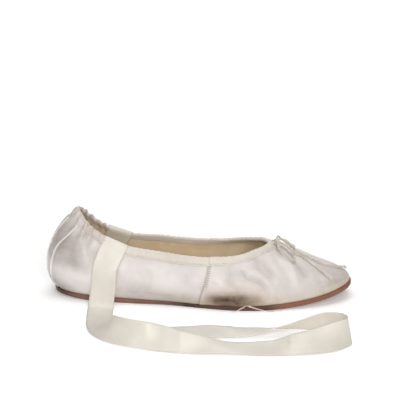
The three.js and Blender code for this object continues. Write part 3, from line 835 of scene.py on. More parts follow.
# ------------------------------------------------------------------ drawstring
KNOT_UP, KNOT_LIFT, KNOT_RADIUS = 0.962, 3.1, 2.3
STRING = {  # aside of the toe's section, up the wall, lift off it
    "drawstring_loop_lateral": [
        (-0.0093, 0.962, 4.6), (-0.0328, 0.945, 4.7), (-0.0553, 0.919, 4.9), (-0.0718, 0.872, 4.4),
        (-0.0803, 0.806, 3.4), (-0.0783, 0.747, 2.3), (-0.0666, 0.729, 1.7), (-0.0502, 0.755, 1.6),
        (-0.0345, 0.8, 1.8), (-0.023, 0.846, 2.2), (-0.0138, 0.889, 2.6), (-0.0069, 0.945, 2.65),
    ],
    "drawstring_loop_medial": [
        (0.0091, 0.962, 4.6), (0.0312, 0.939, 4.8), (0.0485, 0.907, 5.1), (0.0616, 0.852, 4.8),
        (0.069, 0.778, 3.8), (0.0664, 0.718, 2.6), (0.0544, 0.711, 1.8), (0.0408, 0.743, 1.6),
        (0.0297, 0.789, 1.8), (0.0207, 0.836, 2.2), (0.0127, 0.883, 2.6), (0.0068, 0.945, 2.65),
    ],
    "drawstring_end_lateral": [
        (-0.0016, 0.94, 3.85), (-0.0039, 0.886, 3.3), (-0.0115, 0.815, 1.7), (-0.0231, 0.72, 1.4),
        (-0.0359, 0.598, 1.4), (-0.0466, 0.456, 1.4), (-0.0503, 0.312, 1.4),
    ],
    "drawstring_end_medial": [
        (0.0018, 0.948, 5.52), (0.0065, 0.901, 6.4), (0.0061, 0.842, 4.1), (0.0008, 0.776, 1.8),
        (-0.0065, 0.695, 1.4), (-0.0124, 0.603, 1.4), (-0.0135, 0.505, 1.4), (-0.0097, 0.408, 1.4),
        (-0.002, 0.317, 1.4), (0.0067, 0.245, 1.4),
    ],
}


def knot_path(centre, across, up, out, size, count=150):
    """An overhand knot drawn tight."""
    t = np.arange(count) * 2 * np.pi / count
    a = np.sin(t) + 2 * np.sin(2 * t)
    b = np.cos(t) - 2 * np.cos(2 * t)
    c = -np.sin(3 * t) * 1.15
    return centre + size * (a[:, None] * across + b[:, None] * up + c[:, None] * out)


def make_drawstring():
    centre = wall(TOE_AT, KNOT_UP) + wall_normal(TOE_AT, KNOT_UP) * KNOT_LIFT
    for name, rows in STRING.items():
        knots = np.array(
            [wall(TOE_AT + a, v) + wall_normal(TOE_AT + a, v) * (lift + max(0.0, float(relief(TOE_AT + a, v)))) for a, v, lift in rows]
        )
        # it runs on into the knot
        knots = np.vstack([centre + 0.35 * (knots[0] - centre), knots])
        if "_loop_" in name:
            knots = np.vstack([knots, centre + 0.35 * (knots[-1] - centre)])
        path = evenly(spline3(knots, np.linspace(0, 1, 500)), 0.4)
        long = np.linalg.norm(np.diff(path, axis=0), axis=1).sum() * 0.001
        points, faces, uv = cord_tube(path, CORD_D / 2)
        o = piece(name.replace("drawstring", "cord"), points, faces, CORD, [name], uv)
        if "_end_" in name:
            way = unit(path[-1] - path[-4])
            u, v = TOE_AT + rows[-1][0], rows[-1][1]
            out = wall_normal(u, v)
            side = unit(np.cross(way, out))
            tip = path[-1] + way * 0.6 + out * 0.25
            kp, kf, kuv = cord_tube(knot_path(tip, side, way, out, 0.40, 110), 0.62, 12, 3, 4.0, 0.12, True)
            knot = piece(name.replace("drawstring", "cord") + "_knot", kp, kf, CORD, (), kuv)
    out = wall_normal(TOE_AT, KNOT_UP)
    across = unit(wall(TOE_AT + 1e-3, KNOT_UP) - wall(TOE_AT - 1e-3, KNOT_UP))
    up = unit(np.cross(out, across))
    parts = [cord_tube(knot_path(centre, across, up, out, 0.62), 0.82, 16, 3, 6.0, 0.13, True)]
    # the two runs that come out of the casing into the knot
    for s in (-1, 1):
        hole = skin(TOE_AT + s * 0.022, 0.985, 0.2)
        mid = (hole + centre) / 2 + out * 0.9
        p = curve_through([hole, mid, centre], 24)
        parts.append(cord_tube(p, 0.78, 16))
    points, faces = joined([(a, b) for a, b, _ in parts])
    uv = np.vstack([c for _, _, c in parts])
    piece("cord_bow_knot", points, faces, CORD, ["drawstring_knot"], uv)


make_drawstring()

# ------------------------------------------------------------------ ribbons
SEWN = [0.7, 0.78, 0.86, 0.93]
HANG = [0.97, 0.92, 0.85, 0.76, 0.66, 0.56]
TURN_DEG = [-75, -25, 25, 75]
OFF_INSIDE, OFF_OVER, OFF_OUTSIDE = 1.7, 1.5, 1.3
EASE = 0.3
FLOOR = {  # x, y, lift, bank
    "lateral": [
        (46.8, -37.8, 12.5, 0), (46.0, -41.0, 5.5, 0), (45.8, -46.4, 1.2, 0), (45.8, -56.0, 0.5, 0),
        (46.4, -72.0, 0.9, 4), (47.4, -88.0, 0.5, 14), (50.0, -103.0, 0.5, 36), (56.5, -117.0, 0.5, 60),
        (67.5, -127.0, 0.5, 72), (83.0, -132.5, 0.5, 66), (101.0, -134.5, 0.5, 44), (123.0, -135.0, 0.8, 20),
        (149.0, -135.0, 1.8, 4), (177.0, -134.5, 0.8, 12), (203.0, -132.0, 0.5, 38), (223.0, -126.0, 0.5, 62),
        (233.5, -115.0, 0.5, 77), (230.5, -103.0, 0.5, 77), (218.0, -96.0, 0.5, 66), (200.5, -94.0, 0.5, 42),
        (180.0, -95.0, 0.5, 20), (157.0, -97.5, 1.2, 2), (134.0, -100.0, 1.5, -6), (112.0, -102.0, 0.6, -6),
        (93.0, -103.0, 0.9, 0), (77.0, -103.5, 0.5, 0),
    ],
    "medial": [
        (47.2, 33.6, 12.5, 0), (46.4, 36.8, 5.5, 0), (46.4, 42.5, 1.2, -4), (47.6, 50.5, 0.5, -30),
        (52.6, 58.3, 0.5, -58), (62.5, 63.8, 0.5, -72), (78.0, 65.6, 0.5, -66), (96.0, 64.0, 0.5, -42),
        (115.0, 61.2, 1.2, -8), (132.0, 60.0, 0.8, 22), (147.0, 62.4, 0.5, 50), (157.8, 69.2, 0.5, 71),
        (161.8, 79.4, 0.5, 77), (157.6, 89.6, 0.5, 75), (146.0, 95.6, 0.5, 62), (130.0, 97.4, 0.5, 40),
        (110.0, 96.6, 0.8, 16), (88.0, 94.8, 1.4, 0), (66.0, 93.8, 0.8, -20), (45.0, 94.3, 0.5, -46),
        (28.0, 97.8, 0.5, -68), (17.5, 106.2, 0.5, -78), (18.5, 117.2, 0.5, -78), (30.0, 123.6, 0.5, -66),
        (47.0, 125.0, 0.5, -38), (68.0, 124.0, 1.2, -8), (92.0, 122.0, 0.6, 0), (115.0, 120.4, 0.9, 0),
        (138.5, 119.2, 0.5, 0),
    ],
}
RIBBON_LOOK_THICK = 0.34


def along(u, v, e=1e-4):
    return wall(u + e, v) - wall(u - e, v)


def ribbon_way(side):
    """u of a ribbon's middle at each v: it crosses the collar's edge squarely, then hangs."""
    u0, e = RIBBON_AT[side], 1e-4
    edge_u, edge_v = along(u0, 1.0) / (2 * e), (wall(u0, 1.0) - wall(u0, 1 - e)) / e
    square = (edge_v @ edge_u) / (edge_u @ edge_u)
    return lambda v: u0 + square * EASE * np.tanh((1 - v) / EASE)


def ribbon_rows(side):
    u0, way = RIBBON_AT[side], ribbon_way(side)
    middles, across = [], []
    for v in SEWN:
        middles.append(wall(way(v), v) - wall_normal(way(v), v) * (WALL + OFF_INSIDE))
        across.append(unit(along(way(v), v)))
    out, flat = wall_normal(u0, 1.0), unit(along(u0, 1.0))
    up = unit(np.cross(out, flat))
    edge = wall(u0, 1.0) - out * WALL / 2
    for deg in TURN_DEG:
        a, r = math.radians(deg), WALL / 2 + OFF_OVER
        middles.append(edge + out * r * math.sin(a) + up * r * math.cos(a))
        across.append(flat)
    for v in HANG:
        middles.append(wall(way(v), v) + wall_normal(way(v), v) * OFF_OUTSIDE)
        across.append(unit(along(way(v), v)))
    floor = FLOOR[side]
    for i, (x, y, lift, bank) in enumerate(floor):
        a, b = floor[max(0, i - 1)], floor[min(len(floor) - 1, i + 1)]
        lean = math.radians(bank)
        left = unit(np.array([-(b[1] - a[1]), b[0] - a[0], 0.0]))
        middles.append(np.array([x, y, lift + RIBBON_WIDE / 2 * abs(math.sin(lean)) + 0.35]))
        across.append(left * math.cos(lean) + np.array([0, 0, math.sin(lean)]))
    return np.array(middles), np.array(across)


def make_ribbon(side, seed):
    middles, across = ribbon_rows(side)
    ts = np.linspace(0, 1, 6001)
    m = spline3(middles, ts)
    s = np.concatenate([[0.0], np.cumsum(np.linalg.norm(np.diff(m, axis=0), axis=1))])
    long = s[-1]
    rows, wide = 620, 15
    t = np.linspace(-1, 1, wide)
    at = np.linspace(0, 1, rows)[:, None] * np.ones(wide)
    # cut on the slant at the free end
    cut = 8.0 * (t + 1) / 2 if side == "lateral" else 8.0 * (1 - t) / 2
    goes = at * long - smooth(0.93, 1.0, at) * cut * at
    place = np.interp(goes, s, ts)
    mid = spline3(middles, place.ravel()).reshape(rows, wide, 3)
    way = unit(
        spline3(middles, np.clip(place.ravel() + 2e-4, 0, 1)) - spline3(middles, np.clip(place.ravel() - 2e-4, 0, 1))
    ).reshape(rows, wide, 3)
    w = spline3(across, place.ravel()).reshape(rows, wide, 3)
    w = unit(w - way * (w * way).sum(-1, keepdims=True))
    n = np.cross(way, w)
    # the weave's own slack: long ripples, a slight curl across, firmer woven edges
    r = np.random.RandomState(seed)
    free = 0.22 * smooth(26, 40, goes) + 0.78 * smooth(70, 110, goes)
    ripple = np.zeros_like(goes)
    for wave, high in ((61, 0.5), (37, 0.35), (23, 0.18)):
        ripple += high * np.cos(2 * np.pi * goes / wave + r.uniform(0, 6.28) + 0.8 * t[None, :])
    curl = (0.45 * np.cos(2 * np.pi * goes / 140 + r.uniform(0, 6.28))) * (1 - t[None, :] ** 2)
    lift = free * (0.55 * ripple + curl)
    for k, at_mm in enumerate(r.uniform(-9, 9, 5) + np.array([128, 206, 284, 362, 440])):  # where it was folded away
        lift += free * 0.42 * (-1) ** k * np.exp(-(((goes - at_mm - r.uniform(-2.5, 2.5) * t[None, :]) / 2.0) ** 2))
    half = RIBBON_LOOK_THICK / 2 * (1 + 0.55 * smooth(0.90, 0.985, np.abs(t)))[None, :]
    half = half * smooth(1.02, 0.975, np.abs(t))[None, :] ** 0.5
    body = mid + w * (t * RIBBON_WIDE / 2)[None, :, None] + n * lift[..., None]
    top, low = body + n * half[..., None], body - n * half[..., None]
    points = np.concatenate([top, low[:, ::-1]], axis=1)
    down = np.minimum(points[..., 2].min(axis=1), 0.12)  # nothing goes under the floor
    points[..., 2] += np.where(points[..., 2].min(axis=1) < 0.12, 0.12 - down, 0)[:, None]
    ring = 2 * wide
    f, fr, fc = quads(rows, ring, False, True)
    faces = f.tolist()
    x = np.concatenate([t, t[::-1]]) * RIBBON_WIDE / 2
    uv = np.stack([x[fc % ring], goes[np.minimum(fr, rows - 1), np.minimum(fc % ring, 2 * wide - 1 - fc % ring)]], -1)
    uv = uv.reshape(-1, 2).tolist()
    for base, flip in ((0, True), ((rows - 1) * ring, False)):
        for k in range(wide - 1):
            face = [base + k, base + k + 1, base + ring - 2 - k, base + ring - 1 - k]
            faces.append(face[::-1] if flip else face)
            uv += [[0.0, 0.0]] * 4
    o = piece("ankle_ribbon_" + side, points.reshape(-1, 3), faces, RIBBON, ["ribbon_" + side], uv)
    return o, middles, across


# ------------------------------------------------------------------ upper
def upper_columns(v):
    """u for the columns of the cloth's mesh at each v: closer together at the seams, and following them."""
    base = list(np.arange(540) / 540)
    k = 560.0
    near = np.array([0.12, 0.28, 0.45, 0.65, 0.9, 1.25, 1.7, 2.3, 3.0]) / k
    lines = [
        (float(seam_outer(0.5)), seam_outer),
        (float(seam_inner(0.5)), seam_inner),
        (float(counter(0.5)), counter),
        (1 - float(counter(0.5)), lambda v: 1 - counter(v)),
    ]
    for b, _ in lines:
        base = [x for x in base if abs(x - b) > 3.4 / k]
        base += [b] + list(b + near) + list(b - near)
    base = np.sort(np.array(base))
    u = base[None, :] + np.zeros((len(v), 1))
    c0 = float(counter(0.5))
    spread_back = 0.03
    exact = 1 - math.exp(-((2 * c0 / spread_back) ** 2))
    for b, line in lines[:2]:
        u = u + np.exp(-((base[None, :] - b) / 0.03) ** 2) * (line(v)[:, None] - b)
    back = turn(base)[None, :]
    move = (counter(v)[:, None] - c0) / exact
    u = u + move * (np.exp(-(((back - c0) / spread_back) ** 2)) - np.exp(-(((back + c0) / spread_back) ** 2)))
    return u


# Painted shade in hollows of the cloth: round, up, width, height, strength.
SHADES = [
    (0.0525, 0.525, 0.009, 0.12, 0.26), (0.0187, 0.66, 0.010, 0.15, 0.24), (0.0515, 0.82, 0.011, 0.09, 0.26),
    (0.0180, 0.15, 0.014, 0.11, 0.42), (0.0340, 0.10, 0.016, 0.08, 0.42), (0.1620, 0.28, 0.032, 0.11, 0.20),
    (0.1700, 0.15, 0.045, 0.09, 0.30), (0.2150, 0.10, 0.022, 0.10, 0.26),
    (0.3735, 0.43, 0.010, 0.14, 0.26), (0.3650, 0.59, 0.008, 0.12, 0.18),
    (0.3390, 0.46, 0.007, 0.10, 0.20), (0.2925, 0.60, 0.008, 0.14, 0.18),
    (0.3640, 0.11, 0.021, 0.10, 0.18), (0.3950, 0.07, 0.020, 0.09, 0.14), (0.4190, 0.14, 0.018, 0.13, 0.15),
    (0.4470, 0.16, 0.021, 0.14, 0.17), (0.4760, 0.10, 0.014, 0.11, 0.18),
]


def upper_marks(u, v):
    """Stain at the seam, tinge along the sole's edge, grey soiling and painted shade at the heel, painted shade in
    the folds' troughs, the hollows and low on the quarter, painted highlights on raised edges, the heel's ledge and
    the quarter.
    """
    f = np.asarray(u, float) - np.floor(u)
    p = wall(u, v)
    along = (f - 0.2880) * 560.0
    up = v * 46.0
    sway = 1.6 * np.sin(along / 6.3) + 0.9 * np.sin(along / 2.9 + 1)
    mid = 5.1 - 0.03 * along
    r = np.sqrt((along / np.where(along > 0, 19.5, 21.0)) ** 2 + ((up - mid - 0.25 * sway) / np.where(up > mid, 5.6, 6.6)) ** 2)
    stain = 0.95 * np.exp(-(r**2.5) * 0.85) * smooth(-26.0, -14.5, along)
    r2 = np.sqrt((along / np.where(along > 0, 30.0, 24.0)) ** 2 + ((up - 4.0 - 0.5 * sway) / 12.0) ** 2)
    halo = 0.90 * np.exp(-(r2**2.0) * 1.0) * smooth(-27.0, -19.0, along)
    front = smooth(0.255, 0.30, f) * smooth(0.70, 0.60, f)
    rest = 0.35 + 0.65 * front
    edge = 0.56 * rest * np.exp(-((up / (2.6 + 3.2 * front)) ** 2))
    by_seam = smooth(0.165, 0.232, f) * smooth(0.262, 0.248, f)
    edge = edge + 0.34 * by_seam * np.exp(-((up / 6.0) ** 2))
    edge = edge + 0.20 * smooth(0.40, 0.47, f) * smooth(0.60, 0.53, f) * np.exp(-((v / 0.34) ** 2))
    heel = np.exp(-((turn(u) / 0.052) ** 2))
    # Grey soiling low round the heel; the narrow grey band down the back of the heel is painted shade.
    dirt_and_shade = 0.56 * heel * np.exp(-((v / 0.20) ** 2)) + 0.22 * np.exp(-((turn(u) / 0.012) ** 2)) * smooth(0.9, 0.2, v)
    # soiling at the toe, near the sole
    dirt_and_shade = dirt_and_shade + 0.28 * np.exp(-((turn(u - 0.487) / 0.04) ** 2)) * np.exp(-(((v - 0.18) / 0.14) ** 2))
    dirt_and_shade = dirt_and_shade + 0.10 * smooth(0.6, 1.0, waves(p, 40, 14, 12, 11))
    # painted shade low on the quarter, where the cloth turns under towards the sole
    dirt_and_shade = dirt_and_shade + 0.26 * by_seam * np.exp(-((up / 5.0) ** 2)) + 0.46 * smooth(0.09, 0.16, f) * smooth(0.262, 0.248, f) * np.exp(-((up / 10.0) ** 2))
    # a little darker over the front of the vamp and the toe
    dirt_and_shade = dirt_and_shade + 0.13 * smooth(0.375, 0.43, f) * smooth(0.57, 0.51, f) * smooth(0.80, 0.45, v)
    # painted shade on the back of the heel, in the band below the collar
    back_of_heel = smooth(0.056, 0.034, np.abs(turn(u)))
    dirt_and_shade = dirt_and_shade + 0.36 * back_of_heel * smooth(0.36, 0.50, v) * smooth(0.96, 0.82, v)
    # painted shade in the hollows listed in SHADES
    for at, high, wide, tall, much in SHADES:
        dirt_and_shade = dirt_and_shade + much * np.exp(-(((f - at) / wide) ** 2) - ((v - high) / tall) ** 2)
    # painted shade over the heel quarter
    dirt_and_shade = dirt_and_shade + 0.20 * smooth(0.100, 0.060, np.abs(turn(u))) * smooth(0.36, 0.52, v) * smooth(1.0, 0.92, v)
    # a darker line in the groove beside each side seam
    outer, inner, back = seam_gaps(u, v)
    for gap in (outer, inner):
        dirt_and_shade = dirt_and_shade + 0.5 * np.exp(-(((gap + 0.45) / 0.7) ** 2)) * smooth(0.93, 0.86, v)
    # painted highlights: along the counter's raised edge, a band of painted sheen along the quarter, and on the ledge
    # low on the heel
    painted_highlight = 0.74 * np.exp(-(((back - 0.55) / 0.55) ** 2)) * smooth(0.97, 0.82, v)
    ledge = smooth(0.022, 0.036, np.abs(turn(u))) * smooth(0.112, 0.094, np.abs(turn(u)))
    side = smooth(0.105, 0.135, f) * smooth(0.245, 0.215, f)
    painted_highlight = np.maximum(painted_highlight, 0.34 * side * np.exp(-(((v - 0.42) / 0.19) ** 2)))
    painted_highlight = np.maximum(painted_highlight, 0.38 * ledge * np.exp(-(((v - 0.345) / 0.075) ** 2)))
    h = relief(u, v)
    # painted shade in the troughs of the folds, a little random tone, and painted shade over the front of the vamp
    tone_and_shade = 0.40 * smooth(0.15, 1.3, -h) + 0.06 * smooth(0.4, 1.2, waves(p, 55, 22, 10, 12))
    tone_and_shade = tone_and_shade + 0.16 * front * smooth(0.12, 0.5, v)
    return {"stain": stain, "halo": halo, "edge": np.clip(edge, 0, 1), "dirt_and_shade": np.clip(dirt_and_shade, 0, 1), "tone_and_shade": np.clip(tone_and_shade, 0, 1), "painted_highlight": painted_highlight}


def wall_lengths(u, v):
    """Millimetres round and up the wall, for the weave."""
    p = wall(u, v)
    up = np.concatenate([np.zeros((1, p.shape[1])), np.cumsum(np.linalg.norm(np.diff(p, axis=0), axis=2), axis=0)])
    return u * 560.0, up


def make_upper():
    v = np.concatenate([np.linspace(0, 0.12, 16)[:-1], np.linspace(0.12, 1.0, 84)])
    u = upper_columns(v)
    vv = v[:, None] + np.zeros_like(u)
    outer = skin(u, vv)
    lip = outer[:1] + np.array([0, 0, -0.27])
    back_v = np.linspace(1.0, 0.0, 13)
    back_u = upper_columns(back_v)
    inner = skin(back_u, back_v[:, None], -0.8)
    inner_lip = inner[-1:] + np.array([0, 0, -0.27])
    points = np.concatenate([lip, outer, inner, inner_lip])
    rows, cols = points.shape[:2]
    f, fr, fc = quads(rows, cols, True, True)
    uu = np.concatenate([u[:1], u, back_u, back_u[-1:]])
    allv = np.concatenate([vv[:1], vv, back_v[:, None] + np.zeros_like(back_u), np.zeros_like(back_u[-1:])])
    x, y = wall_lengths(uu, allv)
    xw = np.concatenate([x, x[:, :1] + 560.0], axis=1)
    yw = np.concatenate([y, y[:, :1]], axis=1)
    uv = np.stack([xw[fr % rows, fc], yw[fr % rows, fc]], -1)
    marks = upper_marks(uu, allv)
    piece("upper_cloth", points.reshape(-1, 3), f, SATIN, ["upper"], uv, {k: a for k, a in marks.items()})


def make_lining():
    n = 420
    u = np.arange(n) / n
    v_in = np.linspace(0.02, 1.0, 64)
    v_out = np.linspace(1.0, 0.02, 13)
    share = lambda v: 0.86 + 0.14 * smooth(0.6, 0.85, v)

    def face(v, off):
        uu, vv = np.meshgrid(u, v)
        h = share(vv) * (relief(uu, vv) + 0.6 * seam_relief(uu, vv)) + off
        return wall(uu, vv) + wall_normal(uu, vv) * h[..., None], uu, vv

    a, ua, va = face(v_in, -WALL - 0.05)
    b, ub, vb = face(v_out, -0.86)
    points = np.concatenate([a, b])
    rows = len(points)
    f, fr, fc = quads(rows, n, True, True)
    uu, vv = np.concatenate([ua, ub]), np.concatenate([va, vb])
    x, y = wall_lengths(uu, vv)
    xw, yw = np.concatenate([x, x[:, :1] + 560.0], 1), np.concatenate([y, y[:, :1]], 1)
    uv = np.stack([xw[fr % rows, fc], yw[fr % rows, fc]], -1)
    p = wall(uu, vv)
    side = np.abs(turn(uu - 0.5))
    # The lining is darker and warmer on the quarters below the collar's edge, more so towards the bottom, and lighter
    # in patches towards the collar.
    zone = smooth(0.13, 0.26, side) * (1 - 0.7 * smooth(0.33, 0.42, side))
    marks = {
        "deep": (0.10 + 0.30 * zone) * smooth(0.8, 0.1, vv) * (0.7 + 0.3 * waves(p, 50, 18, 10, 21)) + 0.42 * zone * smooth(1.0, 0.86, vv),
        "tone_and_shade": smooth(0.55, 0.95, vv) * 0.8 * smooth(-0.3, 0.8, waves(p, 40, 12, 12, 22)),
    }
    marks = {k: np.clip(m, 0, 1) for k, m in marks.items()}
    piece("lining", points.reshape(-1, 3), f, LINING, (), uv, marks)


# The bound edge of the collar that the drawstring runs in: down from the collar and off the cloth.
CASING_OUT = [
    (6.75, 0.02), (6.70, 0.26), (6.52, 0.44), (6.18, 0.52), (5.85, 0.44), (5.58, 0.20), (5.28, 0.20), (5.00, 0.42),
    (4.50, 0.60), (3.85, 0.80), (3.20, 0.95), (2.55, 1.00), (1.90, 0.95), (1.28, 0.84), (0.64, 0.74), (0.22, 0.68),
]
CASING_OVER = [14, 34, 54, 74, 94, 114, 134, 154, 170]
CASING_IN = [(0.4, 0.60), (1.2, 0.62), (2.2, 0.60), (3.2, 0.52), (3.9, 0.40), (4.25, 0.22), (4.3, 0.02)]
CASING_STITCH_DOWN, CASING_STITCH_OFF = 5.43, 0.24


def casing_swell(u, down):
    """How the bound edge fills and gathers on its way round."""
    s = rim_s(u)
    heel = smooth(0.118, 0.070, np.abs(turn(u)))
    fill = 1 + 0.10 * np.cos(2 * np.pi * s / 19 + 0.4) + 0.07 * np.cos(2 * np.pi * s / 7.3 + 2)
    ruck = (0.10 + 0.22 * heel) * np.cos(2 * np.pi * s / 3.7 + 1.6 * np.cos(2 * np.pi * s / 29)) * smooth(5.8, 3.6, down)
    return fill + ruck


def make_casing():
    n = 900
    u = rim_u(np.arange(n) * RIM_LONG / n)
    out = wall_normal(u, 1.0)
    flat = unit(wall(u + 1e-4, 1.0) - wall(u - 1e-4, 1.0))
    up = unit(np.cross(out, flat))
    edge = skin(u, 1.0, -WALL / 2)
    rings = []

    def outside(down, off):
        vv = v_below(u, down)
        return skin(u, vv, off * casing_swell(u, down) if off > 0.05 else off)

    def inside(down, off):
        vv = v_below(u, down)
        return skin(u, vv, -WALL - 0.06 - off)

    def over(deg, r):
        a = math.radians(deg)
        r = r * (1 + 0.06 * np.cos(2 * np.pi * rim_s(u) / 4.1 + 1.2 * np.cos(2 * np.pi * rim_s(u) / 33)))
        return edge + out * (r * math.cos(a))[:, None] + up * (r * math.sin(a))[:, None]

    for down, off in CASING_OUT:
        rings.append(outside(down, off))
    for deg in CASING_OVER:
        rings.append(over(deg, WALL / 2 + 0.68 - 0.04 * deg / 170))
    for down, off in CASING_IN:
        rings.append(inside(down, off))
    for down in (3.0, 1.5, 0.3):
        rings.append(inside(down, 0.015))
    for deg in (160, 125, 90, 55, 20):
        rings.append(over(deg, WALL / 2 + 0.10))
    for down in (0.4, 1.8, 3.4, 5.2):
        rings.append(outside(down, 0.015))
    points = np.array(rings)
    rows = len(points)
    f, fr, fc = quads(rows, n, True, True)
    x = np.append(np.arange(n) * RIM_LONG / n, RIM_LONG)
    y = np.append(np.concatenate([[0.0], np.cumsum(np.linalg.norm(np.diff(points[:, 0], axis=0), axis=1))]), 0.0)
    uv = np.stack([x[fc], y[fr]], -1)
    heel = np.ones((rows, 1)) * smooth(0.115, 0.065, np.abs(turn(u)))[None, :]
    none = np.zeros_like(heel)
    # the casing is a little darker round the heel
    marks = {"stain": none, "halo": none, "edge": none, "painted_highlight": none, "dirt_and_shade": 0.12 * heel, "tone_and_shade": 0.60 * heel}
    piece("collar_casing", points.reshape(-1, 3), f, CASING, (), uv, marks)


def make_heel_strip():
    rows, wide = 150, 25
    v = np.linspace(0.012, 0.90, rows)
    t = np.linspace(-1, 1, wide)
    half_u = HEEL_STRIP_HALF / stretch(0.0, v)
    u = half_u[:, None] * t[None, :]
    vv = v[:, None] + np.zeros_like(u)
    a = np.abs(t)
    welt = np.exp(-(((a - 0.86) / 0.10) ** 2))
    stitch = np.exp(-(((a - 0.66) / 0.07) ** 2))
    high = (0.38 + 0.80 * welt - 0.16 * stitch) * smooth(1.0, 0.95, a) ** 0.5
    sag = 0.10 * np.cos(2 * np.pi * np.arange(rows) / 11.0)[:, None] * (1 - a**2)[None, :]
    top = skin(u, vv, high[None, :] + 0.02 + sag)
    low = skin(u, vv, -0.12)
    points = np.concatenate([top, low[:, ::-1]], axis=1)
    ring = 2 * wide
    f, fr, fc = quads(rows, ring, False, True)
    faces = f.tolist()
    x = np.concatenate([t, t[::-1]]) * HEEL_STRIP_HALF
    y = v * 82.0
    uv = np.stack([x[fc % ring], y[np.minimum(fr, rows - 1)]], -1).reshape(-1, 2).tolist()
    for base, flip in ((0, True), ((rows - 1) * ring, False)):
        for k in range(wide - 1):
            face = [base + k, base + k + 1, base + ring - 2 - k, base + ring - 1 - k]
            faces.append(face[::-1] if flip else face)
            uv += [[0.0, 0.0]] * 4
    uu = np.concatenate([u, u[:, ::-1]], axis=1)
    vv = np.concatenate([vv, vv[:, ::-1]], axis=1)
    marks = upper_marks(uu, vv)
    marks["stain"], marks["halo"] = np.zeros_like(uu), np.zeros_like(uu)
    # painted shade: the strip a little greyer over the back of the heel
    marks["dirt_and_shade"] = np.clip(marks["dirt_and_shade"] + 0.12, 0, 1)
    # painted highlight along the strip's raised welts
    marks["painted_highlight"] = np.concatenate([welt, welt[::-1]])[None, :] * np.full((rows, 1), 0.85)
    piece("heel_strip", points.reshape(-1, 3), faces, SATIN, (), uv, marks)


def stitch_mesh(starts, ends, outs, thick, proud=0.6, sides=7):
    """Short stitches as small bent threads that dive into the cloth at both ends."""
    steps = np.array([0.0, 0.10, 0.28, 0.5, 0.72, 0.90, 1.0])
    rise = np.array([-1.3, 0.05, 0.75, 1.0, 0.75, 0.05, -1.3]) * thick * proud
    size = np.array([0.75, 0.95, 1.0, 1.0, 1.0, 0.95, 0.75]) * thick / 2
    starts, ends, outs = np.asarray(starts), np.asarray(ends), unit(np.asarray(outs))
    way = unit(ends - starts)
    side = unit(np.cross(way, outs))
    a = np.arange(sides) * 2 * np.pi / sides
    mid = starts[:, None] + (ends - starts)[:, None] * steps[None, :, None] + outs[:, None] * rise[None, :, None]
    ring = (
        mid[:, :, None]
        + side[:, None, None] * (size[None, :, None] * np.cos(a))[..., None]
        + outs[:, None, None] * (size[None, :, None] * np.sin(a))[..., None]
    )
    count, per = len(starts), len(steps) * sides
    f, fr, fc = quads(len(steps), sides, False, True)
    faces = []
    for k in range(count):
        faces += (f + k * per).tolist()
        faces.append([k * per + q for q in range(sides)][::-1])
        faces.append([k * per + per - sides + q for q in range(sides)])
    return ring.reshape(-1, 3), faces


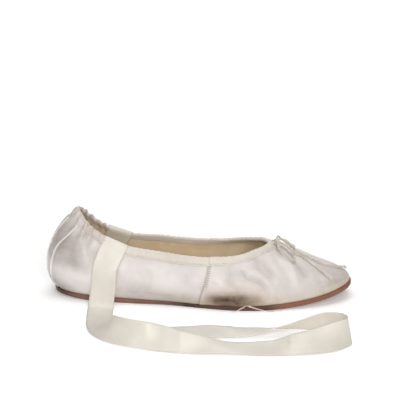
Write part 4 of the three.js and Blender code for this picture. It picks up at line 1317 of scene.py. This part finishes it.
def make_stitches():
    # one row round the collar, through the casing
    pitch, long = 3.3, 2.35
    n = int(RIM_LONG // pitch)
    s = np.arange(n) * RIM_LONG / n
    wob = np.random.RandomState(31).uniform(-0.12, 0.12, size=(2, n))
    ua, ub = rim_u(s), rim_u(s + long)
    keep = np.ones(n, bool)
    for at in (0.0,):
        keep &= np.abs(turn(ua - at)) > 0.006
    ua, ub, wob = ua[keep], ub[keep], wob[:, keep]
    a = skin(ua, v_below(ua, CASING_STITCH_DOWN + wob[0]), CASING_STITCH_OFF)
    b = skin(ub, v_below(ub, CASING_STITCH_DOWN + wob[1]), CASING_STITCH_OFF)
    normals = wall_normal(ua, v_below(ua, CASING_STITCH_DOWN))
    parts = [stitch_mesh(a, b, normals, 0.46)]
    points, faces = joined(parts)
    piece("casing_stitches", points, faces, THREAD)
    # short stitches across the vamp's turned edge at both side seams
    parts = []
    for line, sign in ((seam_outer, 1), (seam_inner, -1)):
        v = np.arange(0.862, 0.40, -0.046)
        k = stretch(line(v), v)
        r = np.random.RandomState(41 + sign)
        a = skin(line(v) + sign * 0.55 / k, v, 0.04)
        tilt = 0.004 * r.uniform(-1, 1, len(v))
        b = skin(line(v) + sign * (2.9 + 0.3 * r.uniform(-1, 1, len(v))) / k, np.clip(v + 0.006 + tilt, 0, 1), 0.04)
        parts.append(stitch_mesh(a, b, wall_normal(line(v), v), 0.5))
        # the seam's own small stitches, down its whole length
        v = np.arange(0.85, 0.02, -0.030)
        k = stretch(line(v), v)
        a = skin(line(v) + sign * 0.75 / k, v, 0.0)
        b = skin(line(v - 0.019) + sign * 0.75 / k, v - 0.019, 0.0)
        parts.append(stitch_mesh(a, b, wall_normal(line(v), v), 0.26))
    points, faces = joined(parts)
    piece("seam_stitches", points, faces, SEAM_THREAD)
    # a box of stitches through each ribbon's sewn end, inside the collar
    parts = []
    for side in RIBBON_AT:
        way = ribbon_way(side)
        box = [(-7.4, 0.735), (7.4, 0.735), (7.4, 0.885), (-7.4, 0.885), (-7.4, 0.735)]
        x = np.concatenate([np.linspace(a[0], b[0], 30) for a, b in zip(box, box[1:])])
        v = np.concatenate([np.linspace(a[1], b[1], 30) for a, b in zip(box, box[1:])])
        u = way(v) + x / stretch(way(v), v)
        line = evenly(wall(u, v) - wall_normal(u, v) * (WALL + OFF_INSIDE + 0.16), 1.45)
        out = -wall_normal(way(0.8), 0.8)
        n = len(line) // 2 * 2
        a, b = line[0:n:2], line[1:n:2]
        parts.append(stitch_mesh(a, b + (b - a) * 0.35, np.tile(out, (len(a), 1)), 0.42))
    points, faces = joined(parts)
    piece("ribbon_stitches", points, faces, THREAD)
    # two rows down the strip at the heel
    parts = []
    for sign in (-1, 1):
        v = np.arange(0.03, 0.885, 0.030)
        k = stretch(0.0, v)
        a = skin(sign * 0.66 * HEEL_STRIP_HALF / k, v, 0.26)
        b = skin(sign * 0.66 * HEEL_STRIP_HALF / stretch(0.0, v + 0.021), v + 0.021, 0.26)
        parts.append(stitch_mesh(a, b, wall_normal(np.zeros_like(v), v), 0.30))
    points, faces = joined(parts)
    piece("heel_strip_stitches", points, faces, THREAD)


# ------------------------------------------------------------------ soles
def outline(off, count):
    u = np.arange(count) / count
    r, s = last(u), last(u, 1)
    n = np.stack([s[:, 1], -s[:, 0]], 1)
    n = n / np.linalg.norm(n, axis=1, keepdims=True)
    back = np.stack([HEEL_BACK * heel_share(u), np.zeros(count)], 1)
    return r[:, :2] - back + n * np.reshape(off, (-1, 1) if np.ndim(off) else (1, 1))


def inward(off, depth, share, count):
    """The outline drawn in by depth, and then by a share of the way to the middle line."""
    ring = outline(off - depth, count)
    if share > 0:
        deep = outline(off - 7.0, count)
        other = np.roll(deep[::-1], 1, axis=0)
        spine = (deep + other) / 2
        lo, hi = deep[:, 0].min() + 9.0, deep[:, 0].max() - 9.0
        spine[:, 0] = np.clip(spine[:, 0], lo, hi)
        ring = ring + (spine - ring) * share
    return ring


def make_plate(name, off, profile, material, node, marks, count=520, rough=0.0, dip=None, rim=None, thick=None):
    """A plate from rings: how far in from the edge, share to the middle, which face, and height from it."""
    points = []
    bottom, top = marks["heights"]
    for depth, share, face, high in profile:
        xy = inward(off, depth, share, count)
        if face == "high" and rim is not None:
            xy = xy + (rim - outline(off, count)) * (1 - smooth(1.5, 6.0, depth))
        grow = (top(xy[:, 0]) - bottom(xy[:, 0])) / thick if thick else 1.0
        z = (bottom if face == "low" else top)(xy[:, 0]) + high * grow
        if face == "high" and dip is not None:
            z = z + dip(xy)
        points.append(np.concatenate([xy, z[:, None]], axis=1))
    points = np.array(points)
    if rough:
        shake = waves(points, 9, 2.2, 24, 51) * rough + waves(points, 40, 14, 10, 52) * rough
        n = np.concatenate([outline(1.0, count) - outline(0.0, count), np.zeros((count, 1))], 1)[None]
        edge = np.array([1.0 if d < 0.6 else 0.0 for d, _, _, _ in profile])[:, None, None]
        points = points + n * shake[..., None] * edge
    rows = len(points)
    f, fr, fc = quads(rows, count, False, True)
    flat = points.reshape(-1, 3)
    x = np.arange(count + 1) / count * 560.0
    y = np.concatenate([[0.0], np.cumsum(np.linalg.norm(np.diff(points[:, count // 4], axis=0), axis=1))])
    uv = np.stack([x[fc], y[fr]], -1)
    return piece(name, flat, f, material, [node], uv, {k: m(flat) for k, m in marks.items() if k != "heights"}, weld=0.002)


def sole_low(x):
    return sole_bottom(x)


def sole_high(x):
    return sole_bottom(x) + SOLE_THICK


def sole_rim(x):
    return sole_high(x) - skived(x)


SOLE_PROFILE = [
    (7.0, 1.0, "high", 0.0), (7.0, 0.6, "high", 0.0), (7.0, 0.25, "high", 0.0), (7.0, 0.0, "high", 0.0), (4.0, 0.0, "high", 0.0),
    (2.0, 0.0, "high", 0.0), (0.9, 0.0, "high", 0.0), (0.45, 0.0, "high", -0.03), (0.18, 0.0, "high", -0.14),
    (0.03, 0.0, "high", -0.40), (0.0, 0.0, "high", -0.85), (-0.06, 0.0, "high", -1.5), (-0.08, 0.0, "high", -2.1),
    (-0.05, 0.0, "high", -2.7), (0.0, 0.0, "low", 0.95), (0.06, 0.0, "low", 0.5), (0.22, 0.0, "low", 0.2),
    (0.5, 0.0, "low", 0.05), (1.0, 0.0, "low", 0.0), (2.0, 0.0, "low", 0.0), (4.0, 0.0, "low", 0.0), (7.0, 0.0, "low", 0.0),
    (7.0, 0.25, "low", 0.0), (7.0, 0.6, "low", 0.0), (7.0, 1.0, "low", 0.0),
]
INSOLE_PROFILE = [
    (6.0, 1.0, "high", 0.0), (6.0, 0.75, "high", 0.0), (6.0, 0.5, "high", 0.0), (6.0, 0.25, "high", 0.0), (6.0, 0.0, "high", 0.0),
    (4.0, 0.0, "high", 0.0), (2.6, 0.0, "high", 0.0), (1.6, 0.0, "high", 0.0), (0.9, 0.0, "high", -0.02), (0.4, 0.0, "high", -0.12),
    (0.1, 0.0, "high", -0.36), (0.0, 0.0, "high", -0.7), (0.0, 0.0, "low", 0.6), (0.15, 0.0, "low", 0.2), (0.5, 0.0, "low", 0.03),
    (2.0, 0.0, "low", 0.0), (6.0, 0.0, "low", 0.0), (6.0, 0.5, "low", 0.0), (6.0, 1.0, "low", 0.0),
]


def make_soles():
    def deep(p):
        x = p[:, 0]
        # darker at the heel; darker through the waist, partly a stain and partly painted shadow under the overhanging
        # upper; blotchy
        return np.clip(
            0.80 * smooth(34, 8, x)
            + 0.72 * smooth(78, 116, x) * smooth(188, 174, x)
            + 0.25 * waves(p, 30, 9, 14, 61) * smooth(0, 1, waves(p, 60, 25, 8, 62)),
            0, 0.9,
        )

    def warm(p):
        x = p[:, 0]
        return np.clip(0.36 * smooth(26, 48, x) * smooth(100, 74, x) + 0.78 * smooth(176, 192, x) + 0.1 * waves(p, 24, 8, 12, 63), 0, 0.8)

    def tread(p):
        low = (p[:, 2] < sole_bottom(p[:, 0]) + 0.3).astype(float)
        ball = np.exp(-(((p[:, 0] - 165) / 42) ** 2) - ((p[:, 1] / 34) ** 2))
        heel = np.exp(-(((p[:, 0] - 42) / 30) ** 2) - ((p[:, 1] / 24) ** 2))
        return np.clip(low * (0.15 + 0.85 * np.maximum(ball, heel)), 0, 1)

    make_plate(
        "sole", SOLE_MARGIN, SOLE_PROFILE, SOLE, "outsole",
        {"heights": (sole_low, sole_rim), "deep": deep, "warm": warm, "tread": tread}, rough=0.06, thick=SOLE_THICK,
    )

    def print_depth(xy):
        ball = np.exp(-(((xy[:, 0] - 160) / 32) ** 2) - (((xy[:, 1] + 3) / 26) ** 2))
        heel = np.exp(-(((xy[:, 0] - 42) / 22) ** 2) - ((xy[:, 1] / 15) ** 2))
        toes = sum(
            np.exp(-(((xy[:, 0] - x) / 7.5) ** 2) - (((xy[:, 1] - y) / 6.0) ** 2))
            for x, y in ((221, 17), (219, 4), (213, -7), (206, -16), (197, -24))
        )
        return -0.42 * np.clip(ball + heel, 0, 1) - 0.28 * np.clip(toes, 0, 1)

    def lining_line(count):
        """Where the lining meets the insole's upper face."""
        u, v = np.meshgrid(np.arange(count) / count, np.linspace(0, 0.25, 80), indexing="ij")
        p = wall(u, v) + wall_normal(u, v) * (0.86 * relief(u, v) - WALL - 0.12)[..., None]
        over = p[..., 2] - (sole_high(p[..., 0]) + GAP + INSOLE_THICK - 0.25)
        return np.array([[np.interp(0.0, o, q[:, c]) for c in (0, 1)] for o, q in zip(over, p)])

    def insole_tread(p):
        return np.clip(-print_depth(p[:, :2]) * 1.5, 0, 0.75) * (p[:, 2] > sole_high(p[:, 0]) + 1.0)

    def insole_deep(p):
        return np.clip(0.25 + 0.3 * waves(p, 60, 20, 10, 71), 0, 0.6)

    make_plate(
        "insole_sock", -WALL - INSOLE_INSET, INSOLE_PROFILE, INSOLE, "insole",
        {
            "heights": (lambda x: sole_high(x) + GAP, lambda x: sole_high(x) + GAP + INSOLE_THICK),
            "tread": insole_tread, "deep": insole_deep,
        },
        dip=print_depth,
        rim=lining_line(520),
    )


# Frayed ends of the seam at the ball: along the shoe, out from the sole's side, height.
FRAYS = [
    [(158.8, -0.95, 4.55), (158.2, -0.2, 4.80), (156.8, 0.42, 4.00), (154.8, 0.48, 2.6), (153.0, 0.55, 1.2), (151.0, 1.2, 0.35), (148.2, 2.2, 0.3)],
    [(159.4, -0.95, 4.55), (160.3, -0.1, 4.85), (163.0, 0.42, 3.95), (167.0, 0.48, 2.5), (171.0, 0.55, 1.2), (175.0, 1.1, 0.45), (180.6, 1.8, 0.3), (186.4, 2.0, 0.3)],
    [(160.4, -0.95, 4.55), (161.8, -0.1, 4.85), (164.6, 0.42, 3.60), (168.6, 0.48, 2.0), (172.0, 0.75, 0.9), (175.6, 1.9, 0.3), (179.8, 3.0, 0.3)],
]
FRAY_STRANDS, FRAY_D = 3, 0.46


def make_frays():
    us = np.linspace(0.24, 0.42, 721)
    feet = wall(us, 0.0)
    parts = []
    for n, row in enumerate(FRAYS):
        for strand in range(FRAY_STRANDS):
            points = []
            for k, (x, out, z) in enumerate(row):
                x = x + 0.9 * np.sin(1.9 * k + 2.3 * strand + n) * min(k, 2) * 0.5
                u = np.interp(x, feet[:, 0], us)
                way = unit(along(u, 0.0))
                aside = np.array([way[1], -way[0], 0.0]) / math.hypot(way[0], way[1])
                lift = 0.24 * strand if z > 1.0 else 0.0
                spread = 0.55 * strand if z < 0.5 else 0.0
                q = wall(u, 0.0) + aside * (SOLE_MARGIN + out + (0.30 * strand if 0.3 < out < 0.8 else spread))
                z = z * (1 - skived(x) / SOLE_THICK) if z > 0.5 else z
                points.append([q[0], q[1], z + (lift if out < 0.3 else 0.0)])
            path = evenly(spline3(points, np.linspace(0, 1, 160)), 0.35)
            thin = lambda gone, whole: 1 - 0.45 * gone / whole
            parts.append(cord_tube(path, FRAY_D / 2, 8, 2, 1.6, 0.15, False, thin))
    points, faces = joined([(a, b) for a, b, _ in parts])
    points[:, 2] = np.maximum(points[:, 2], 0.02)
    uv = np.vstack([c for _, _, c in parts])
    piece("frayed_threads", points, faces, FRAYED, (), uv)


make_upper()
make_lining()
make_casing()
make_heel_strip()
make_stitches()
make_soles()
make_frays()
make_ribbon("lateral", 5)
make_ribbon("medial", 9)


# ------------------------------------------------------------------ floor and light
def make_stage():
    f = Finish("floor", 0.9, Specular_IOR_Level=0.1, Emission_Color=(1, 1, 1, 1))
    shade = f.mix(f.span(f.noise(3.0, 2, 0.5), 0.3, 0.7), (0.86, 0.86, 0.86, 1), (0.89, 0.89, 0.89, 1))
    # paper that glows, faintly beside the shoe and brighter away from it, so the backdrop turns white
    away = f.t.nodes.new("ShaderNodeVectorMath")
    away.operation = "LENGTH"
    f.t.links.new(f.place(), away.inputs[0])
    f.put(f.b.inputs["Emission Strength"], f.span(away.outputs["Value"], 0.10, 1.10, 0.24, 1.0))
    f.done(shade)
    me = bpy.data.meshes.new("floor")
    me.from_pydata([(-9, -9, 0), (9, -9, 0), (9, 9, 0), (-9, 9, 0)], [], [(0, 1, 2, 3)])
    me.materials.append(f.m)
    o = bpy.data.objects.new("floor", me)
    scene.collection.objects.link(o)

    world = bpy.data.worlds.new("studio")
    world.use_nodes = True
    back = next(n for n in world.node_tree.nodes if n.type == "BACKGROUND")
    back.inputs["Color"].default_value = (1.0, 1.0, 1.0, 1.0)
    back.inputs["Strength"].default_value = 0.10
    scene.world = world

    def soft_box(name, at, size, power, color=(1, 1, 1), aim=(0.0, 0.0, 0.03)):
        light = bpy.data.lights.new(name, "AREA")
        light.shape, light.size, light.size_y = "RECTANGLE", size[0], size[1]
        light.energy, light.color = power, color
        o = bpy.data.objects.new(name, light)
        o.location = at
        o.rotation_mode = "QUATERNION"
        o.rotation_quaternion = (Vector(aim) - Vector(at)).to_track_quat("-Z", "Y")
        scene.collection.objects.link(o)

    soft_box("top_box", (-0.05, 0.15, 1.5), (1.2, 1.2), 13.5, (1.0, 0.995, 0.985))
    soft_box("key_box", (0.12, -1.6, 0.82), (0.8, 0.8), 19, (1.0, 0.99, 0.98))
    soft_box("back_box", (0.3, 1.7, 0.9), (1.0, 1.0), 6, (0.99, 0.995, 1.0))
    scene.view_settings.view_transform = "Standard"


make_stage()
